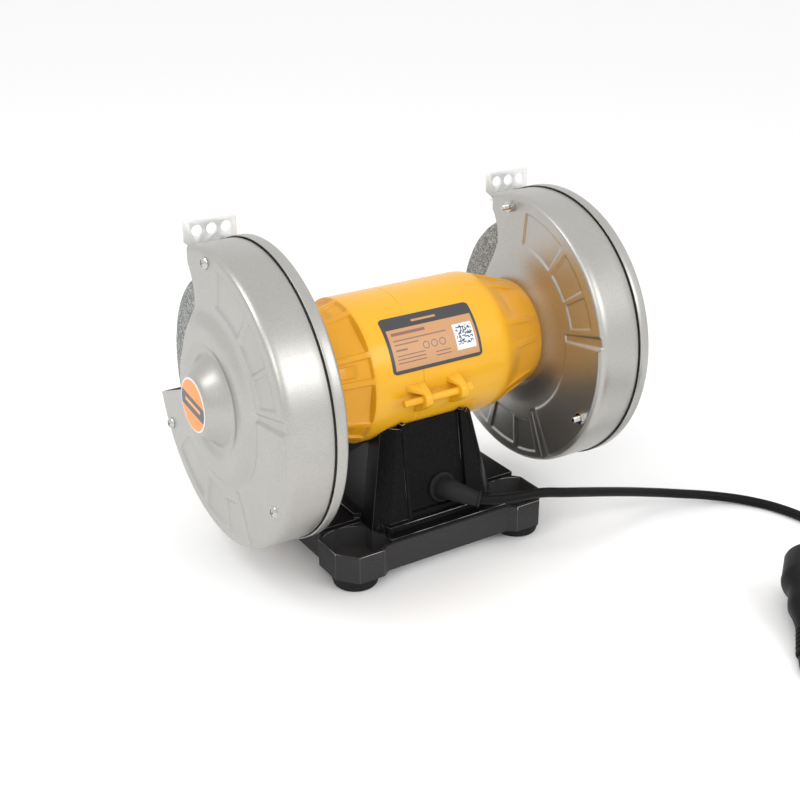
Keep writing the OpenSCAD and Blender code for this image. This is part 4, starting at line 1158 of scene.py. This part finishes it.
def keep_inner_corners_dull(bm):
    """Gives back the first material to rounded edges that lie in a corner, so the painted edge highlight
    stays off the inner corners.
    """
    for edge in bm.edges:
        rounded = len(edge.link_faces) == 2 and all(face.material_index == 1 for face in edge.link_faces)
        if rounded and not edge.is_convex and edge.calc_face_angle() > 0.1:
            for face in edge.link_faces:
                face.material_index = 0


def add_base():
    """Casting with a sunk pocket at each corner, a plinth and a tapered column under the motor."""
    outline = mirrored(OUTLINE)
    body = prism("casting", outline, BASE_Z, DECK_Z)
    corners = [(sx, sy) for sx in (-1, 1) for sy in (-1, 1)]
    for sx, sy in corners:
        step = block("step", sx * 44.0, sx * 90.0, sy * 29.0, sy * 80.0, CORNER_Z, DECK_Z + 9.0)
        boolean(body, step, "DIFFERENCE")
    plinth = mirrored([(50.0, 27.0), (44.0, 29.0), (44.0, 44.0), (40.0, 56.0)])
    boolean(body, loft("plinth", plinth, DECK_Z - 1.0, inset(plinth, 0.5), DECK_Z + 3.0), "UNION")
    for sx, sy in corners:
        place = (sx * FOOT_AT[0], sy * FOOT_AT[1])
        pocket = prism("pocket", circle(22.0, 64, place), BASE_Z + 4.0, 60.0)
        boolean(pocket, prism("rim", inset(outline, 2.4), BASE_Z, 70.0), "INTERSECT")
        boolean(pocket, prism("foot", column_outline(46.6, 52.6), 0.0, 80.0), "DIFFERENCE")
        boolean(body, pocket, "DIFFERENCE")
    low, high = column_outline(*COLUMN_LOW), column_outline(*COLUMN_HIGH)
    boolean(body, prism("foot", low, BASE_Z + 1.0, DECK_Z - 0.5), "UNION")
    column = loft("column", low, DECK_Z - 0.5, high, COLUMN_TOP)
    for turn in (0.0, 180.0):
        pieces = [(tapered_block("panel", (22.0, 48.5), 35.5, (21.4, 38.6), 99.0, 40.0), "DIFFERENCE")]
        for side in (-1.0, 1.0):
            pieces.append((strip("rib", side * 22.6, side * 22.1, 1.4, 46.0, 36.0, 7.0), "UNION"))
        for piece, operation in pieces:
            piece.data.transform(Matrix.Rotation(math.radians(turn), 4, "Z"))
            outward(piece)
            boolean(column, piece, operation)
    for turn in (-90.0, 90.0):
        cut = tapered_block("flank", (30.0, 44.0), 36.0, (22.0, 33.6), 88.0, 40.0)
        cut.data.transform(Matrix.Rotation(math.radians(turn), 4, "Z"))
        boolean(column, cut, "DIFFERENCE")
    boolean(body, column, "UNION")
    boolean(body, block("seat", -20.0, 20.0, -56.0, -42.0, 40.0, 72.0), "UNION")
    boolean(body, block("switch_cut", -13.5, 13.5, -60.0, -30.0, 46.5, 65.5), "DIFFERENCE")
    r = BARREL_R + 0.1
    cradle = turned("cradle", [(0.0, -80.0), (r, -80.0), (r, 80.0), (0.0, 80.0)], 128, (0.0, SHAFT_Z))
    boolean(body, cradle, "DIFFERENCE")
    for hx, hy in ((38.0, 60.5), (72.0, 27.0)):
        boolean(body, block("space", -hx, hx, -hy, hy, BASE_Z - 2.0, DECK_Z - 3.0), "DIFFERENCE")
    for sx, sy in corners:
        neck = circle(7.0, 32, (sx * FOOT_AT[0], sy * FOOT_AT[1]))
        boolean(body, prism("neck", neck, 0.0, 20.0), "DIFFERENCE")
    edit(body, lambda bm: bmesh.ops.remove_doubles(bm, verts=bm.verts, dist=0.3 * MM))
    edit(body, lambda bm: bmesh.ops.dissolve_limit(bm, angle_limit=0.012, verts=bm.verts, edges=bm.edges))
    for paint in (BLACK, BLACK_EDGE_HIGHLIGHT):
        body.data.materials.append(paint)
    # The rounded edges take the second material, which paints a highlight along them.
    bevel(body, 0.2, 2, 25.0, slot=1, clamp=False)
    edit(body, keep_inner_corners_dull)
    body.name = "base_casting"
    complete(body, 30.0, BLACK, "base")


add_base()


def add_feet():
    """Turned rubber feet with a bolt hole, a groove and a rounded foot edge."""
    profile = [(3.5, 0.3), (3.8, 0.0), (12.8, 0.0), (13.6, 0.3), (14.1, 1.0), (14.4, 2.2), (14.5, 3.2),
               (14.9, 3.6), (15.0, 4.4), (15.0, 7.4), (14.7, 7.9), (14.2, 8.0), (6.9, 8.0), (6.9, 12.0),
               (8.2, 12.0), (8.1, 12.5), (6.4, 14.3), (5.9, 14.5), (3.9, 14.5), (3.5, 14.2), (3.5, 0.3)]
    for name, sx, sy in (("foot_rear_near", 1, 1), ("foot_rear_far", -1, 1), ("foot_front_near", 1, -1),
                         ("foot_front_far", -1, -1)):
        foot = turned(name + "_pad", profile, 72, (sx * FOOT_AT[0], sy * FOOT_AT[1]), "Z")
        complete(foot, 35.0, FOOT_RUBBER, name)


add_feet()


# ---------- switch ----------

def add_switch():
    """Switch frame with a raised lip, and a rocker with two pressed dots."""
    frame_body = block("switch_frame", -16.5, 16.5, -58.2, -56.0, 43.5, 68.5)
    bevel(frame_body, 0.9, 3, 60.0)
    boolean(frame_body, block("inner", -13.45, 13.45, -57.0, -32.0, 46.55, 65.45), "UNION")
    boolean(frame_body, block("well", -10.6, 10.6, -60.0, -47.0, 47.7, 64.3), "DIFFERENCE")
    bevel(frame_body, 0.25, 2, 60.0)
    complete(frame_body, 35.0, SWITCH_PLASTIC, "switch_housing")

    def front_y(z):
        return -4.4 + 1.4 * math.sin(math.pi * (z + 7.2) / 14.4)

    front = [(front_y(z), z) for z in steps(-7.2, 7.2, 12)]
    side = front + [(1.5, 6.4), (2.5, 0.0), (1.5, -6.4)]
    rocker = prism_x("rocker_cap", side, -10.0, 10.0)
    bevel(rocker, 0.45, 3, 50.0)
    for z in (-4.6, 4.6):
        y0, y1 = front_y(z) - 1.0, front_y(z) + 0.45
        dot = turned("dot", [(0.0, y0), (1.5, y0), (1.5, y1), (0.0, y1)], 32, (0.0, z), "Z")
        dot.data.transform(Matrix(((1, 0, 0, 0), (0, 0, 1, 0), (0, 1, 0, 0), (0, 0, 0, 1))))
        boolean(rocker, outward(dot), "DIFFERENCE")
    pin = turned("pin", [(0.0, -12.0), (1.17, -12.0), (1.17, 12.0), (0.0, 12.0)], 32)
    boolean(rocker, pin, "UNION")
    turn = Matrix.Translation((0.0, -54.8 * MM, 56.0 * MM)) @ Matrix.Rotation(math.radians(9.0), 4, "X")
    rocker.data.transform(turn)
    rocker.name = "switch_rocker_cap"
    complete(rocker, 35.0, SWITCH_PLASTIC, "switch_rocker", "rocker")


add_switch()


# ---------- wheels ----------

def add_wheel(name, x, node):
    """Abrasive wheel with a slightly worn edge and rough faces."""
    dice = random.Random(7 if x > 0 else 11)
    bore, half, radius = 6.35, 8.0, 75.0
    face = [bore, 14.0] + steps(20.0, 73.6, 16)
    edge = [(radius, d) for d in [-7.0] + steps(-6.0, 6.0, 6) + [7.0]]
    edge = [(74.5, -7.7)] + edge + [(74.5, 7.7)]
    profile = [(r, -half) for r in face] + edge + [(r, half) for r in reversed(face)] + [(bore, -half)]
    wheel = turned(name, [(r, x + d) for r, d in profile], 180, (0.0, SHAFT_Z))

    def roughen(bm):
        for v in bm.verts:
            r = math.hypot(v.co.y, v.co.z - SHAFT_Z * MM)
            if r > 0.028:
                v.co.x += dice.uniform(-0.05, 0.05) * MM
                k = 1.0 - dice.uniform(0.0, 0.14) * MM / r
                v.co.y *= k
                v.co.z = SHAFT_Z * MM + (v.co.z - SHAFT_Z * MM) * k
    edit(wheel, roughen)
    complete(wheel, 50.0, GRIT, node, "rotor")


add_wheel("grinding_wheel_near", 113.0, "wheel_near")
add_wheel("grinding_wheel_far", -113.0, "wheel_far")


# ---------- CAD nodes that stay ----------

KEPT = (
    (ZINC, "bottom_plate", "capacitor_bracket", "flange_inner_near", "flange_inner_far", "flange_outer_near",
     "flange_outer_far"),
    (SCREW, "bottom_screws", "motor_screws", "guard_mount_screws", "cable_clamp_screws", "nut_near",
     "nut_far", "plug_earth_clips"),
    (CORE, "stator_core", "rotor_core"),
    (COPPER, "winding_near", "winding_far"),
    (BEARING, "bearing_outer_near", "bearing_outer_far", "bearing_inner_near", "bearing_inner_far"),
    (ALUMINIUM, "capacitor", "rotor_cage"),
    (TERMINAL, "terminal_block"),
    (SWITCH_PLASTIC, "cable_clamp"),
    (SHAFT, "shaft"),
    (CARD, "blotters"),
)
for material, *names in KEPT:
    for name in names:
        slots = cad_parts[name].data.materials
        if not slots:
            slots.append(material)
        for index in range(len(slots)):
            slots[index] = material


# ---------- stage ----------

def add_stage():
    far = 4000
    corners = [(-far, -far, 0), (far, -far, 0), (far, far, 0), (-far, far, 0)]
    floor = mesh_object("floor", corners, [(0, 1, 2, 3)])
    paint = Paint("floor_white", (0.94, 0.94, 0.94), 0.75, specular=0.2)
    floor.data.materials.append(paint.material)
    world = bpy.data.worlds.new("studio")
    world.use_nodes = True
    light = world.node_tree.nodes["Background"].inputs
    light["Color"].default_value = (1.0, 1.0, 1.0, 1.0)
    light["Strength"].default_value = 1.0
    bpy.context.scene.world = world
    for name, spot, aim, size, power in (
            ("key", (0.9, 1.3, 1.3), (0.0, 0.0, 0.1), 0.6, 5.0),
            ("overhead", (0.85, -0.05, 1.3), (0.0, 0.0, 0.1), 0.5, 4.5),
            ("strip", (-0.36, 0.92, 0.69), (0.11, 0.08, 0.16), 0.5, 2.6)):
        light = bpy.data.objects.new(name, bpy.data.lights.new(name, "AREA"))
        bpy.context.collection.objects.link(light)
        light.data.energy = power
        light.data.size = size
        light.location = spot
        light.rotation_euler = (Vector(aim) - Vector(spot)).to_track_quat("-Z", "Y").to_euler()
    bpy.context.scene.view_settings.view_transform = "Standard"


add_stage()
